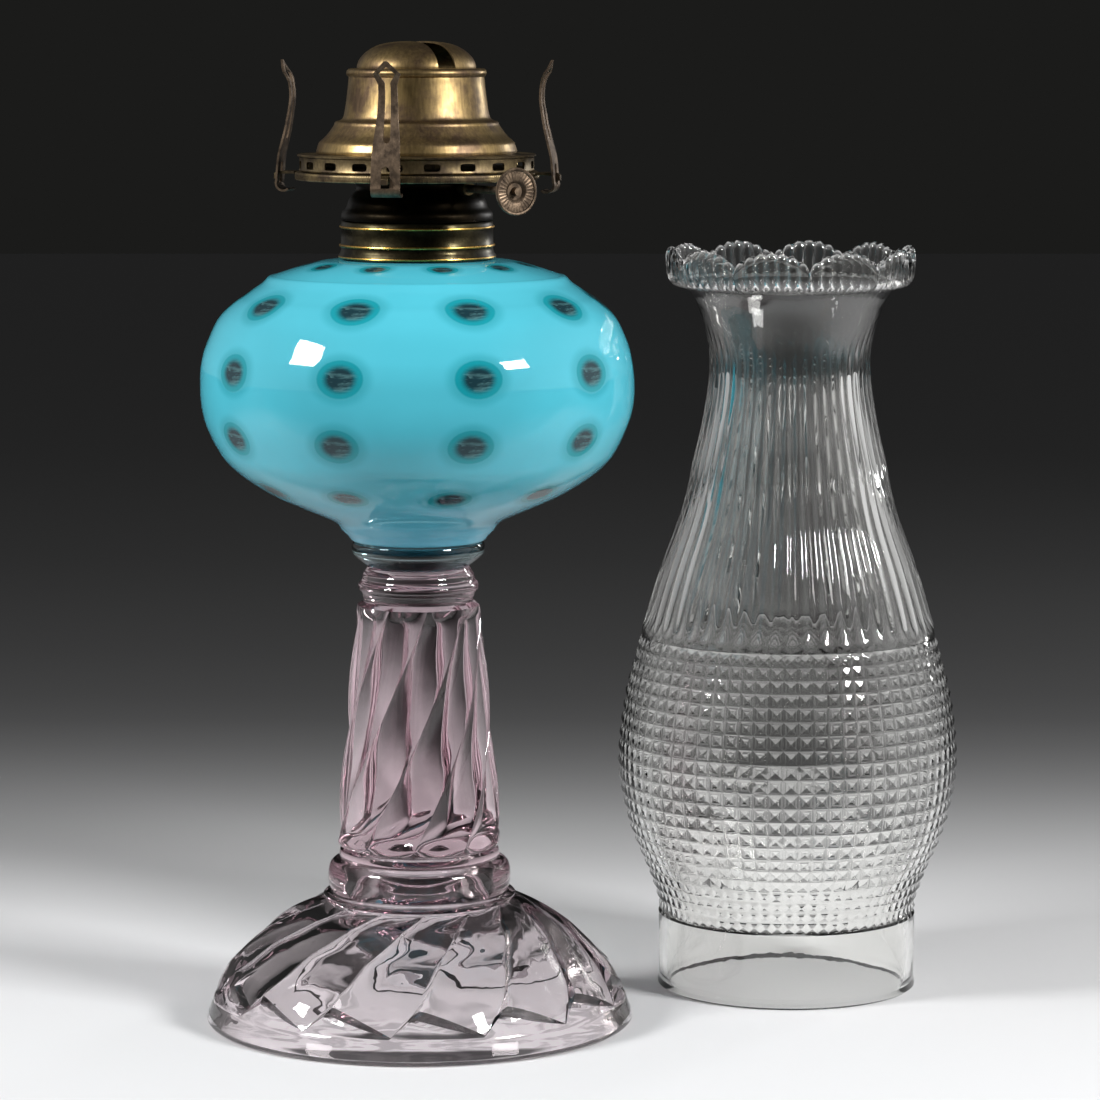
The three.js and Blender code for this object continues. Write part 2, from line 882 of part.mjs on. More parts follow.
// Wick drive: shaft, three spur wheels in their box, a sleeve through the neck, and the knob
const boxEnd = wheelPlaces.at(-1) + wheelBox.endRoom + wheelBox.wall;
const boxInner = tubeDepth / 2 + SEAT_GAP;
const boxOuter = wheelReach + spurWheel.radius + wheelBox.room + wheelBox.wall;
const boxHeight = 2 * (spurWheel.radius + wheelBox.room + wheelBox.wall);
const boxRoom = boxHeight - 2 * wheelBox.wall;
addPiece(
  "wheel_box",
  cutBy(
    block(boxOuter - boxInner, 2 * boxEnd, boxHeight, (boxInner + boxOuter) / 2, 0, shaftLevel),
    block(
      boxOuter - boxInner,
      2 * (boxEnd - wheelBox.wall),
      boxRoom,
      (boxInner + boxOuter) / 2 - wheelBox.wall,
      0,
      shaftLevel,
    ),
    rodAlongY(
      shaft.radius + SHAFT_GAP,
      -boxEnd - OVERRUN,
      boxEnd + OVERRUN,
      wheelReach,
      shaftLevel,
      ROD_COLUMNS,
    ),
  ),
  finish.oldBrass,
  wickFrame,
);
addPiece(
  "wick_shaft",
  rodAlongY(
    shaft.radius,
    -shaft.knobReach - shaft.tail,
    boxEnd + shaft.tail,
    wheelReach,
    shaftLevel,
    ROD_COLUMNS,
  ),
  finish.bronzeSheet,
  wickFrame,
);

function wheelOutline() {
  const points = [];
  for (let i = 0; i < spurWheel.teeth * 2; i++) {
    const reach = i % 2 ? spurWheel.root : spurWheel.radius;
    const angle = (i * Math.PI) / spurWheel.teeth;
    points.push([reach * Math.cos(angle), reach * Math.sin(angle)]);
  }
  return points;
}

const wheelBore = shaft.radius + shaft.wheelGap;
const boreOutline = Array.from({ length: ROD_COLUMNS }, (_, i) => [
  wheelBore * Math.cos((-i * FULL_TURN) / ROD_COLUMNS),
  wheelBore * Math.sin((-i * FULL_TURN) / ROD_COLUMNS),
]);
wheelPlaces.forEach((place, i) => {
  const wheel = facing(wheelOutline(), [boreOutline], spurWheel.thickness);
  wheel.translate(wheelReach, place + spurWheel.thickness / 2, shaftLevel);
  addPiece(`spur_wheel_${i + 1}`, wheel, finish.bronzeSheet, wickFrame);
});

// A turned piece on the shaft, from [radius, distance from the lamp axis] points
const onShaft = (points, columns = ROD_COLUMNS) =>
  ring(points, columns).rotateX(Math.PI / 2).translate(wheelReach, 0, shaftLevel);
const sleeveEnd = burnerBody.neckRadius - burnerBody.sheet * 2;
const sleeveBore = shaft.radius + SHAFT_GAP;
addPiece(
  "shaft_sleeve",
  onShaft([
    [sleeveBore, sleeveEnd],
    [sleeve.radius, sleeveEnd],
    [sleeve.radius, sleeveEnd + sleeve.length],
    [sleeveBore, sleeveEnd + sleeve.length],
  ]),
  finish.oldBrass,
  wickFrame,
);

const { thickness: disc, lip, lipWidth, dish, dishRadius } = knob;
const knobBack = shaft.knobReach - disc / 2;
addPiece(
  "wick_knob",
  onShaft([
    [wheelBore, knobBack - dish],
    [dishRadius, knobBack - dish],
    [dishRadius + dish, knobBack],
    [knob.radius - lipWidth, knobBack],
    [knob.radius, knobBack + lip],
    [knob.radius, knobBack + disc],
    [knob.radius - lipWidth, knobBack + disc],
    [knob.radius - lipWidth - lip, knobBack + disc - lip],
    [dishRadius + dish, knobBack + disc - lip],
    [dishRadius, knobBack + disc - lip - dish],
    [wheelBore, knobBack + disc - lip - dish],
  ], COLUMNS),
  finish.bronzeSheet,
  wickFrame,
);

// Woven cotton wick, hanging straight from the tube into the font
function wickOutline() {
  const half = wickSize.thickness / 2;
  const flat = wickSize.width / 2 - half;
  const end = (sign) =>
    [-60, -20, 20, 60].map((angle) => [
      sign * half * Math.sin(angle * DEGREE),
      sign * (flat + half * Math.cos(angle * DEGREE)),
    ]);
  return [...end(1).reverse(), ...end(-1).reverse()];
}

addPiece(
  "wick",
  new THREE.ExtrudeGeometry(
    new THREE.Shape(wickOutline().map(([x, y]) => new THREE.Vector2(x, y))),
    { depth: wickTop - wickBase, bevelEnabled: false },
  ).translate(0, 0, wickBase),
  finish.cotton,
  wickFrame,
);

// Four arms on the rim, each with a bent tongue that carries a sprung prong by its lower slot
const prongShares = [
  [0.5, 0],
  [0.5, 0.155],
  [0.452, 0.395],
  [0.325, 0.794],
  [0.313, 0.828],
  [0.464, 0.903],
  [0, 1],
  [-0.464, 0.903],
  [-0.313, 0.828],
  [-0.325, 0.794],
  [-0.452, 0.395],
  [-0.5, 0.155],
  [-0.5, 0],
];
const prongSlotShares = [
  [0, 0.402],
  [0.12, 0.43],
  [0.096, 0.847],
  [0.277, 0.903],
  [0, 0.957],
  [-0.277, 0.903],
  [-0.096, 0.847],
  [-0.12, 0.43],
];
const tongueSlotShares = [
  [-0.15, 0.07],
  [0.15, 0.07],
  [0.15, 0.215],
  [0, 0.235],
  [-0.15, 0.215],
];
// The prong's bend: how far it leans in, as a share of the bulge, at shares of its height
const bendShares = [
  [0, 0.165],
  [0.15, 0.252],
  [0.475, 0.391],
  [0.875, 0.6],
  [1, 0.735],
  [0.825, 0.863],
  [0.475, 0.93],
  [0.25, 1],
];

function prongGeometry() {
  const { radius, bulge, height, width, sheet, hookRadius } = prong;
  const outline = scaled(prongShares, width, height, prongBase);
  const slots = [prongSlotShares, tongueSlotShares].map((shares) =>
    scaled(shares, width, height, prongBase),
  );
  const hookLevel = prongBase + sheet / 2 + hookRadius;
  const hook = [-125, -90, -55, -25, 0].map((angle) => [
    radius - hookRadius + hookRadius * Math.cos(angle * DEGREE),
    hookLevel + hookRadius * Math.sin(angle * DEGREE),
  ]);
  const blade = bendShares.map(([lean, up]) => [radius - lean * bulge, prongBase + up * height]);
  return common(
    edgewise(sheetOutline([...hook, ...blade], sheet), width),
    facing(outline, slots, radius + OVERRUN),
  );
}

function armGeometry() {
  const { width, sheet, tongueWidth, tongueDrop } = arm;
  const inside = gallery.rimRadius + SEAT_GAP;
  const shoulder = prong.radius - prong.sheet / 2 - SEAT_GAP;
  const outside = prong.radius + prong.sheet / 2 + SEAT_GAP;
  const plate = block(width, shoulder - inside, sheet, 0, -(inside + shoulder) / 2, neckTop - sheet / 2);
  const tongue = edgewise([
    [shoulder - sheet, neckTop - sheet],
    [outside, neckTop - sheet],
    [outside, neckTop - tongueDrop],
    [outside + sheet, neckTop - tongueDrop],
    [outside + sheet, neckTop],
    [shoulder - sheet, neckTop],
  ], tongueWidth);
  return joined(plate, tongue);
}

for (let i = 0; i < prong.count; i++) {
  const bracket = new THREE.Group();
  bracket.rotation.z = prong.firstAzimuth + (i * FULL_TURN) / prong.count;
  lamp.add(bracket);
  addPiece(`prong_arm_${i + 1}`, armGeometry(), finish.oldBrass, bracket);
  addPiece(`prong_${i + 1}`, prongGeometry(), finish.bronzeSheet, bracket);
}

// Clear chimney: a straight fitter, a belly, a narrow neck and a scalloped rim
const chimneyShares = [
  [0.754, 0.024],
  [0.767, 0.054],
  [0.794, 0.081],
  [0.828, 0.114],
  [0.872, 0.147],
  [0.911, 0.18],
  [0.943, 0.212],
  [0.966, 0.246],
  [0.986, 0.278],
  [1, 0.343],
  [0.984, 0.409],
  [0.953, 0.474],
  [0.903, 0.539],
  [0.85, 0.605],
  [0.794, 0.669],
  [0.733, 0.734],
  [0.662, 0.799],
  [0.605, 0.863],
  [0.567, 0.927],
  [0.518, 1],
];

function chimneyOutline(inset, shares) {
  const { fitterRadius, fitterHeight, bellyRadius, neckRadius, rimRadius: lipRadius } = chimney;
  const bandLow = chimney.height - chimney.bandHeight;
  const neckLevel = fitterHeight + (bandLow - fitterHeight) * chimney.neckShare;
  const bellyTop = fitterHeight + (bandLow - fitterHeight) * chimney.bellyShare;
  const flare = scaled(chimney.flareShares, lipRadius - neckRadius, bandLow - neckLevel, neckLevel);
  return [
    [fitterRadius, 0],
    [fitterRadius, fitterHeight],
    ...scaled(shares, bellyRadius, bellyTop - fitterHeight, fitterHeight),
    [neckRadius, neckLevel - (bandLow - neckLevel) / 2],
    [neckRadius, neckLevel],
    ...flare.map(([out, level]) => [neckRadius + out, level]),
    [lipRadius - chimney.wall / 2, bandLow + inset],
    [lipRadius, chimney.height],
  ].map(([radius, level]) => [radius - inset, level]);
}

const insideShares = chimneyShares.filter((_, i) => i % 2);
const chimneyWall = [
  ...chimneyOutline(0, chimneyShares),
  ...chimneyOutline(chimney.wall, insideShares).reverse(),
];
const chimneyGlass = reshape(ring(chimneyWall, chimney.scallops * 4), (radius, azimuth, height) => {
  const rise = (height - (chimney.height - chimney.bandHeight)) / chimney.bandHeight;
  const swing = Math.abs(Math.sin((chimney.scallops * azimuth) / 2)) ** chimney.scallopCurve;
  const drop = rise > 0 ? chimney.scallopDepth * rise * (1 - swing) : 0;
  return [radius, azimuth + chimney.notchAzimuth, height - drop];
});
addPiece("chimney", chimneyGlass, finish.clearGlass).position.set(chimney.x, chimney.y, 0);

export default lamp;
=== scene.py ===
# A kerosene lamp and the chimney that stands beside it: amethyst pressed glass foot and stem, a
# turquoise coin-dot font, an aged brass flat-wick burner and a clear glass chimney.
import math
import random

import bmesh
import bpy
from mathutils import Matrix, Vector


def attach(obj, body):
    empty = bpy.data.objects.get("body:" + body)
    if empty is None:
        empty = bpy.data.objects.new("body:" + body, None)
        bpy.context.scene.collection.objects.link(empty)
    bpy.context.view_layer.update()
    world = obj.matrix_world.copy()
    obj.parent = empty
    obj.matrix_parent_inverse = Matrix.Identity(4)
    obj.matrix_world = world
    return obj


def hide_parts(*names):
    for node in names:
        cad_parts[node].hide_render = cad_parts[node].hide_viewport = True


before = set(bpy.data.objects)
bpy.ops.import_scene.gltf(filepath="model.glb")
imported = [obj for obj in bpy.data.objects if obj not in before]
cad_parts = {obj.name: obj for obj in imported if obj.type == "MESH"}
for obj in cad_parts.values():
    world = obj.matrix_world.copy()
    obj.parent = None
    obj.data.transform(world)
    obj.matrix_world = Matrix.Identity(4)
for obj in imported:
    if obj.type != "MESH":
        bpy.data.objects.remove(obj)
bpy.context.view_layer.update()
scene = bpy.context.scene
mm = 0.001
print("frame loaded")

# Camera, at the photograph's distance, height and tilt, in mm and degrees
cameraSet = {"x": 37.5, "distance": 1222, "height": 287.3, "pitch": 7.07, "lens": 141.5, "sensor": 36}
cameraData = bpy.data.cameras.new("camera")
cameraData.lens = cameraSet["lens"]
cameraData.sensor_width = cameraSet["sensor"]
camera = bpy.data.objects.new("camera", cameraData)
camera.location = Vector((cameraSet["x"], -cameraSet["distance"], cameraSet["height"])) * mm
camera.rotation_euler = (math.radians(90 - cameraSet["pitch"]), 0, 0)
scene.collection.objects.link(camera)
scene.camera = camera


def toLinear(hexColor):
    channels = [int(hexColor[i : i + 2], 16) / 255 for i in (1, 3, 5)]
    return [c / 12.92 if c <= 0.04045 else ((c + 0.055) / 1.055) ** 2.4 for c in channels] + [1]


def addNode(tree, kind, settings, links):
    # an input is a number, a vector, a #rrggbb colour or another node's output
    node = tree.nodes.new("ShaderNode" + kind)
    for name, value in settings.items():
        setattr(node, name, value)
    for name, value in links.items():
        if isinstance(value, bpy.types.NodeSocket):
            tree.links.new(value, node.inputs[name])
        else:
            node.inputs[name].default_value = toLinear(value) if isinstance(value, str) else value
    return node


def blended(tree, share, first, second):
    # a share of 0 gives the first colour, and 1 the second
    return addNode(tree, "Mix", {"data_type": "RGBA"}, {0: share, 6: first, 7: second}).outputs[2]


def ranged(tree, value, span, smooth=False):
    # span holds the value's range, and the range that it becomes, which is 0 to 1 if left out
    start, end, low, high = (*span, 0, 1)[:4]
    settings = {"interpolation_type": "SMOOTHSTEP"} if smooth else {}
    limits = {"Value": value, "From Min": start, "From Max": end, "To Min": low, "To Max": high}
    return addNode(tree, "MapRange", settings, limits).outputs[0]


def along(tree, vector, axis):
    return addNode(tree, "SeparateXYZ", {}, {"Vector": vector}).outputs[axis]


def noisy(tree, vector, scale, detail, roughness=0.5, distortion=0):
    values = {"Vector": vector, "Scale": scale, "Detail": detail}
    values.update({"Roughness": roughness, "Distortion": distortion})
    return addNode(tree, "TexNoise", {}, values).outputs[0]


def worked(tree, operation, *values):
    return addNode(tree, "Math", {"operation": operation}, dict(enumerate(values))).outputs[0]


def scaled(tree, vector, scale):
    return addNode(tree, "VectorMath", {"operation": "SCALE"}, {"Vector": vector, "Scale": scale}).outputs[0]


def toned(tree, value, points, tint=(1, 1, 1)):
    # a tone of the tint, read off (value, tone) points
    low, high = points[0][0], points[-1][0]
    ramp = addNode(tree, "ValToRGB", {}, {"Fac": ranged(tree, value, (low, high))})
    elements = ramp.color_ramp.elements
    elements[1].position = 1
    for i, (place, tone) in enumerate(points):
        if 0 < i < len(points) - 1:
            element = elements.new((place - low) / (high - low))
        else:
            element = elements[0 if i == 0 else -1]
        element.color = [channel * tone for channel in tint] + [1]
    return ramp.outputs[0]


def addBump(tree, shader, height, distance, strength=1, invert=False):
    # distance is in mm
    links = {"Strength": strength, "Distance": distance * mm, "Height": height}
    bump = addNode(tree, "Bump", {"invert": invert}, links)
    tree.links.new(bump.outputs[0], shader.inputs["Normal"])


def startMaterial(name, settings):
    # a material with uniform values, and the place on the piece that its patterns go by
    material = bpy.data.materials.new(name)
    material.use_nodes = True
    tree = material.node_tree
    shader = tree.nodes["Principled BSDF"]
    for socket, value in settings.items():
        shader.inputs[socket].default_value = value
    return material, tree, shader, addNode(tree, "TexCoord", {}, {}).outputs["Object"]


# Stage: a pale floor that falls off to a dark backdrop, two soft lamps in front and a faint one behind
stageSet = {
    "backdrop": "#1b1b1a",
    "floorSize": 8,
    "paper": {"Roughness": 0.7, "Specular IOR Level": 0.2},
    "paperTint": (1, 1, 1.01),
    # the paper's tone at distances behind the lamp in m
    "floorTones": [
        (-4, 0.03), (-0.36, 0.04), (-0.2, 0.3), (-0.12, 0.75), (0, 0.75), (0.13, 0.7), (0.185, 0.6),
        (0.25, 0.437), (0.31, 0.327), (0.35, 0.255), (0.39, 0.196), (0.455, 0.131), (0.53, 0.088),
        (0.59, 0.073), (0.725, 0.06), (1.05, 0.046), (1.634, 0.038), (4, 0.039),
    ],
    "centre": (45, 15, 140),
    # painted light: how strongly the paper glows for rays that come through glass
    "glowThroughGlass": 0.28,
    # under the foot, seen through its glass: how much light lands from its front to its back in mm, and
    # the patches it falls in at the front
    "underFoot": [(-62, 1), (-54, 0.9), (-51, 0.2), (-42, 0.15), (-38, 1.15), (0, 1.1), (62, 1.2)],
    "patch": {"size": 13, "span": (0.42, 0.62, 0.7, 1.2), "bend": 1.2, "end": 8, "fade": 4},
    "ambient": 0.2,
    # what glass and metal see of the room, from left to right and from below to above
    "roomAcross": [
        (-1, 0.5), (-0.8, 0.3), (-0.44, 0.1), (-0.2, 0), (0.2, 0), (0.5, 0.06), (0.8, 0.45), (1, 0.8),
    ],
    "roomUp": [(-1, 0), (0.24, 0), (0.7, 0.03), (1, 0.12)],
    # for each lamp: azimuth from the front towards the right, elevation, distance and size in m, watts
    "lamps": {
        "left": (-65, 31, 1, (0.25, 0.19), 8.2),
        "right": (54, 30, 1, (0.25, 0.19), 10.2),
        "back": (137, 14, 1.3, (0.1, 0.3), 2),
    },
}


def makePaper():
    material, tree, shader, place = startMaterial("paperFloor", stageSet["paper"])
    depth = along(tree, place, "Y")
    ray = addNode(tree, "LightPath", {}, {}).outputs
    # the paper's dark front is for glass and metal, which mirror it, and not for the camera
    far = stageSet["floorSize"] / 2
    least = worked(tree, "MULTIPLY_ADD", ray["Is Camera Ray"], far, -far)
    visible = worked(tree, "MAXIMUM", depth, least)
    tone = toned(tree, visible, stageSet["floorTones"], stageSet["paperTint"])
    # under the foot the light falls in patches at the front, and evenly at the back
    patch = stageSet["patch"]
    cast = noisy(tree, place, 1 / (patch["size"] * mm), 3, distortion=patch["bend"])
    patches = ranged(tree, cast, patch["span"], smooth=True)
    faded = ranged(tree, depth, (0, patch["end"] * mm, patches, 1))
    landed = toned(tree, depth, [(y * mm, t) for y, t in stageSet["underFoot"]])
    lit = worked(tree, "MULTIPLY", landed, faded)
    reach = addNode(tree, "VectorMath", {"operation": "LENGTH"}, {0: place}).outputs["Value"]
    edge = stageSet["underFoot"][-1][0]
    inside = ranged(tree, reach, (edge * mm, (edge - patch["fade"]) * mm))
    masked = worked(tree, "MULTIPLY", inside, ray["Is Transmission Ray"])
    share = addNode(tree, "Mix", {"data_type": "FLOAT"}, {0: masked, 2: 1, 3: lit}).outputs[0]
    seen = scaled(tree, tone, share)
    # painted light: glass throws a full shadow here, so the paper glows and is paler where it is seen through
    # glass
    through = worked(tree, "MULTIPLY", ray["Is Transmission Ray"], stageSet["glowThroughGlass"])
    tree.links.new(seen, shader.inputs["Base Color"])
    tree.links.new(seen, shader.inputs["Emission Color"])
    tree.links.new(through, shader.inputs["Emission Strength"])
    return material


def makeFloor():
    bm = bmesh.new()
    bmesh.ops.create_grid(bm, x_segments=1, y_segments=1, size=stageSet["floorSize"] / 2)
    mesh = bpy.data.meshes.new("floor")
    bm.to_mesh(mesh)
    bm.free()
    mesh.materials.append(makePaper())
    floor = bpy.data.objects.new("floor", mesh)
    scene.collection.objects.link(floor)


def makeLamps():
    centre = Vector(stageSet["centre"]) * mm
    for name, (azimuth, elevation, distance, size, power) in stageSet["lamps"].items():
        data = bpy.data.lights.new(name, "AREA")
        data.shape = "RECTANGLE"
        data.size, data.size_y = size
        data.energy = power
        holder = bpy.data.objects.new(name + "Lamp", data)
        side, up = math.radians(azimuth), math.radians(elevation)
        flat = math.cos(up)
        away = Vector((math.sin(side) * flat, -math.cos(side) * flat, math.sin(up)))
        holder.location = centre + away * distance
        holder.rotation_euler = away.to_track_quat("Z", "Y").to_euler()
        scene.collection.objects.link(holder)


def makeWorld():
    # camera, mirror and glass rays see the dark backdrop, and other rays a soft white room
    world = bpy.data.worlds.new("studio")
    world.use_nodes = True
    scene.world = world
    tree = world.node_tree
    backdrop = tree.nodes["Background"]
    ray = addNode(tree, "LightPath", {}, {}).outputs
    toward = addNode(tree, "TexCoord", {}, {}).outputs["Generated"]
    dark = toLinear(stageSet["backdrop"])
    glow = dark[:3]
    for axis, points in (("X", stageSet["roomAcross"]), ("Z", stageSet["roomUp"])):
        tone = toned(tree, along(tree, toward, axis), points)
        glow = addNode(tree, "VectorMath", {"operation": "ADD"}, {0: glow, 1: tone}).outputs[0]
    plain = blended(tree, ray["Is Camera Ray"], glow, dark)
    tree.links.new(plain, backdrop.inputs["Color"])
    room = addNode(tree, "Background", {}, {"Color": "#ffffff", "Strength": stageSet["ambient"]})
    seen = ray["Is Camera Ray"]
    for kind in ("Is Glossy Ray", "Is Transmission Ray"):
        seen = worked(tree, "MAXIMUM", seen, ray[kind])
    both = addNode(tree, "MixShader", {}, {0: seen, 1: room.outputs[0], 2: backdrop.outputs[0]})
    tree.links.new(both.outputs[0], tree.nodes["World Output"].inputs["Surface"])


makeFloor()
makeLamps()
makeWorld()
print("stage and lamps made")


# Shapes. Profiles are (radius, height) points in mm, and a spin turns them about the lamp's axis
def curveThrough(points, spacing):
    # a smooth run of points through the given ones, about one spacing apart
    run = []
    for i in range(len(points) - 1):
        four = [points[max(i - 1, 0)], points[i], points[i + 1], points[min(i + 2, len(points) - 1)]]
        steps = max(1, round(math.dist(four[1], four[2]) / spacing))
        for k in range(steps):
            t = k / steps
            run.append(tuple(
                0.5 * (
                    2 * b + (c - a) * t + (2 * a - 5 * b + 4 * c - d) * t**2
                    + (3 * (b - c) + d - a) * t**3
                )
                for a, b, c, d in zip(*four)
            ))
    return run + [points[-1]]


def spun(profile, steps, sectors=10):
    # one sector is spun, and its copies close the round
    sector = bmesh.new()
    verts = [sector.verts.new((0, -radius * mm, height * mm)) for radius, height in profile]
    edges = [sector.edges.new(pair) for pair in zip(verts, verts[1:])]
    around = {"axis": (0, 0, 1), "cent": (0, 0, 0), "angle": 2 * math.pi / sectors}
    bmesh.ops.spin(sector, geom=verts + edges, steps=steps // sectors, **around)
    turns = [2 * math.pi * i / sectors for i in range(sectors)]
    return joined([turned(sector.copy(), turn) for turn in turns], 0.002)


def turned(bm, angle, axis="Z", verts=None):
    matrix = Matrix.Rotation(angle, 3, axis)
    bmesh.ops.rotate(bm, verts=verts or bm.verts, cent=(0, 0, 0), matrix=matrix)
    return bm


def moved(bm, verts, shift):
    bmesh.ops.translate(bm, verts=verts, vec=[step * mm for step in shift])
    return bm


def block(bm, size, middle=(0, 0, 0)):
    verts = bmesh.ops.create_cube(bm, size=1)["verts"]
    bmesh.ops.scale(bm, verts=verts, vec=[side * mm for side in size])
    moved(bm, verts, middle)
    return verts


def joined(parts, tolerance):
    # parts with shared edges as one mesh
    bm = bmesh.new()
    carrier = bpy.data.meshes.new("carrier")
    for part in parts:
        part.to_mesh(carrier)
        part.free()
        bm.from_mesh(carrier)
    bpy.data.meshes.remove(carrier)
    bmesh.ops.remove_doubles(bm, verts=bm.verts, dist=tolerance * mm)
    return bm


def reshaped(bm, move):
    # moves each vertex by its radius, azimuth and height; azimuth grows from the front to the right
    for vert in bm.verts:
        x, y, z = vert.co / mm
        radius, azimuth, height = move(math.hypot(x, y), math.atan2(x, -y), z)
        vert.co = Vector((radius * math.sin(azimuth), -radius * math.cos(azimuth), height)) * mm
    return bm


def extruded(outline, holes, depth):
    # an outline of (across, up) points in mm with its holes, as a plate along Y, centred on y = 0
    bm = bmesh.new()
    for loop in [outline, *holes]:
        verts = [bm.verts.new((across * mm, -depth / 2 * mm, up * mm)) for across, up in loop]
        for pair in zip(verts, verts[1:] + verts[:1]):
            bm.edges.new(pair)
    bmesh.ops.triangle_fill(bm, use_beauty=True, edges=bm.edges)
    return raised(bm, (0, depth, 0))


def raised(bm, shift):
    # flat faces drawn out to a solid
    drawn = bmesh.ops.extrude_face_region(bm, geom=bm.faces[:])["geom"]
    return moved(bm, [item for item in drawn if isinstance(item, bmesh.types.BMVert)], shift)


def rounded(bm, edges, width, segments):
    settings = {"affect": "EDGES", "profile": 0.5, "material": -1, "clamp_overlap": True}
    return bmesh.ops.bevel(bm, geom=edges, offset=width * mm, segments=segments, **settings)["faces"]


def asObject(name, bm):
    bmesh.ops.recalc_face_normals(bm, faces=bm.faces)
    mesh = bpy.data.meshes.new(name)
    bm.to_mesh(mesh)
    bm.free()
    made = bpy.data.objects.new(name, mesh)
    scene.collection.objects.link(made)
    return made


def combined(bm, tool, operation):
    # the boolean of two shapes
    target, cutter = asObject("target", bm), asObject("cutter", tool)
    modifier = target.modifiers.new("combine", "BOOLEAN")
    modifier.operation = operation
    modifier.solver = "EXACT"
    modifier.object = cutter
    result = bmesh.new()
    result.from_object(target, bpy.context.evaluated_depsgraph_get())
    for used in (target, cutter):
        bpy.data.objects.remove(used)
    return result


def addPiece(name, bm, body, material, replaces=(), crease=35, edge=0):
    # a finished piece on its body; edge is the width in mm of a bevel along its creases
    piece = asObject(name, bm)
    piece.data.materials.append(material)
    piece.data.shade_smooth()
    piece.data.set_sharp_from_angle(angle=math.radians(crease))
    if edge:
        bevel = piece.modifiers.new("softEdges", "BEVEL")
        bevel.width = edge * mm
        bevel.segments = 2
        bevel.limit_method = "ANGLE"
        bevel.angle_limit = math.radians(crease)
    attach(piece, body)
    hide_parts(*replaces)
    return piece


# Glass. Soda-lime glass has an IOR of 1.52, and pressed faces are fire polished, so nearly mirror smooth
glassIor = 1.52
glassLooks = {
    "amethyst": {
        "tint": "#fdfbfc", "rough": 0.01, "wave": 0.12, "waveSize": 9, "absorb": ("#dcbfc9", 30),
        # painted shade: the tint darkens up the solid stem, where the room behind it is darker, so it reads
        # darker than the hollow foot: (height in mm, tone) points
        "paintedShade": [(0, 1), (34, 0.94), (50, 0.96), (85, 0.84), (121, 0.74)],
    },
    "wafer": {"tint": "#a9c4c8", "rough": 0.02, "wave": 0.01, "waveSize": 6},
    "chimney": {"tint": "#fafaf8", "rough": 0.01, "wave": 0.04, "waveSize": 5},
}


def makeClearGlass(name, look):
    # faint waves from the mould show as moving light inside the glass
    tint = toLinear(look["tint"])
    material, tree, shader, place = startMaterial(
        name, {"Base Color": tint, "Transmission Weight": 1, "IOR": glassIor, "Roughness": look["rough"]}
    )
    waves = noisy(tree, place, 1 / (look["waveSize"] * mm), 2, roughness=0.4)
    addBump(tree, shader, waves, look["wave"])
    if "absorb" in look:
        color, density = look["absorb"]
        tinted = addNode(tree, "VolumeAbsorption", {}, {"Color": color, "Density": density})
        tree.links.new(tinted.outputs[0], tree.nodes["Material Output"].inputs["Volume"])
    if "paintedShade" in look:
        # painted shade: the glass's tint is darker higher up the stem
        height = along(tree, place, "Z")
        tone = toned(tree, height, [(z * mm, t) for z, t in look["paintedShade"]], tint[:3])
        tree.links.new(tone, shader.inputs["Base Color"])
    return material


clearGlass = {name: makeClearGlass(name + "Glass", look) for name, look in glassLooks.items()}

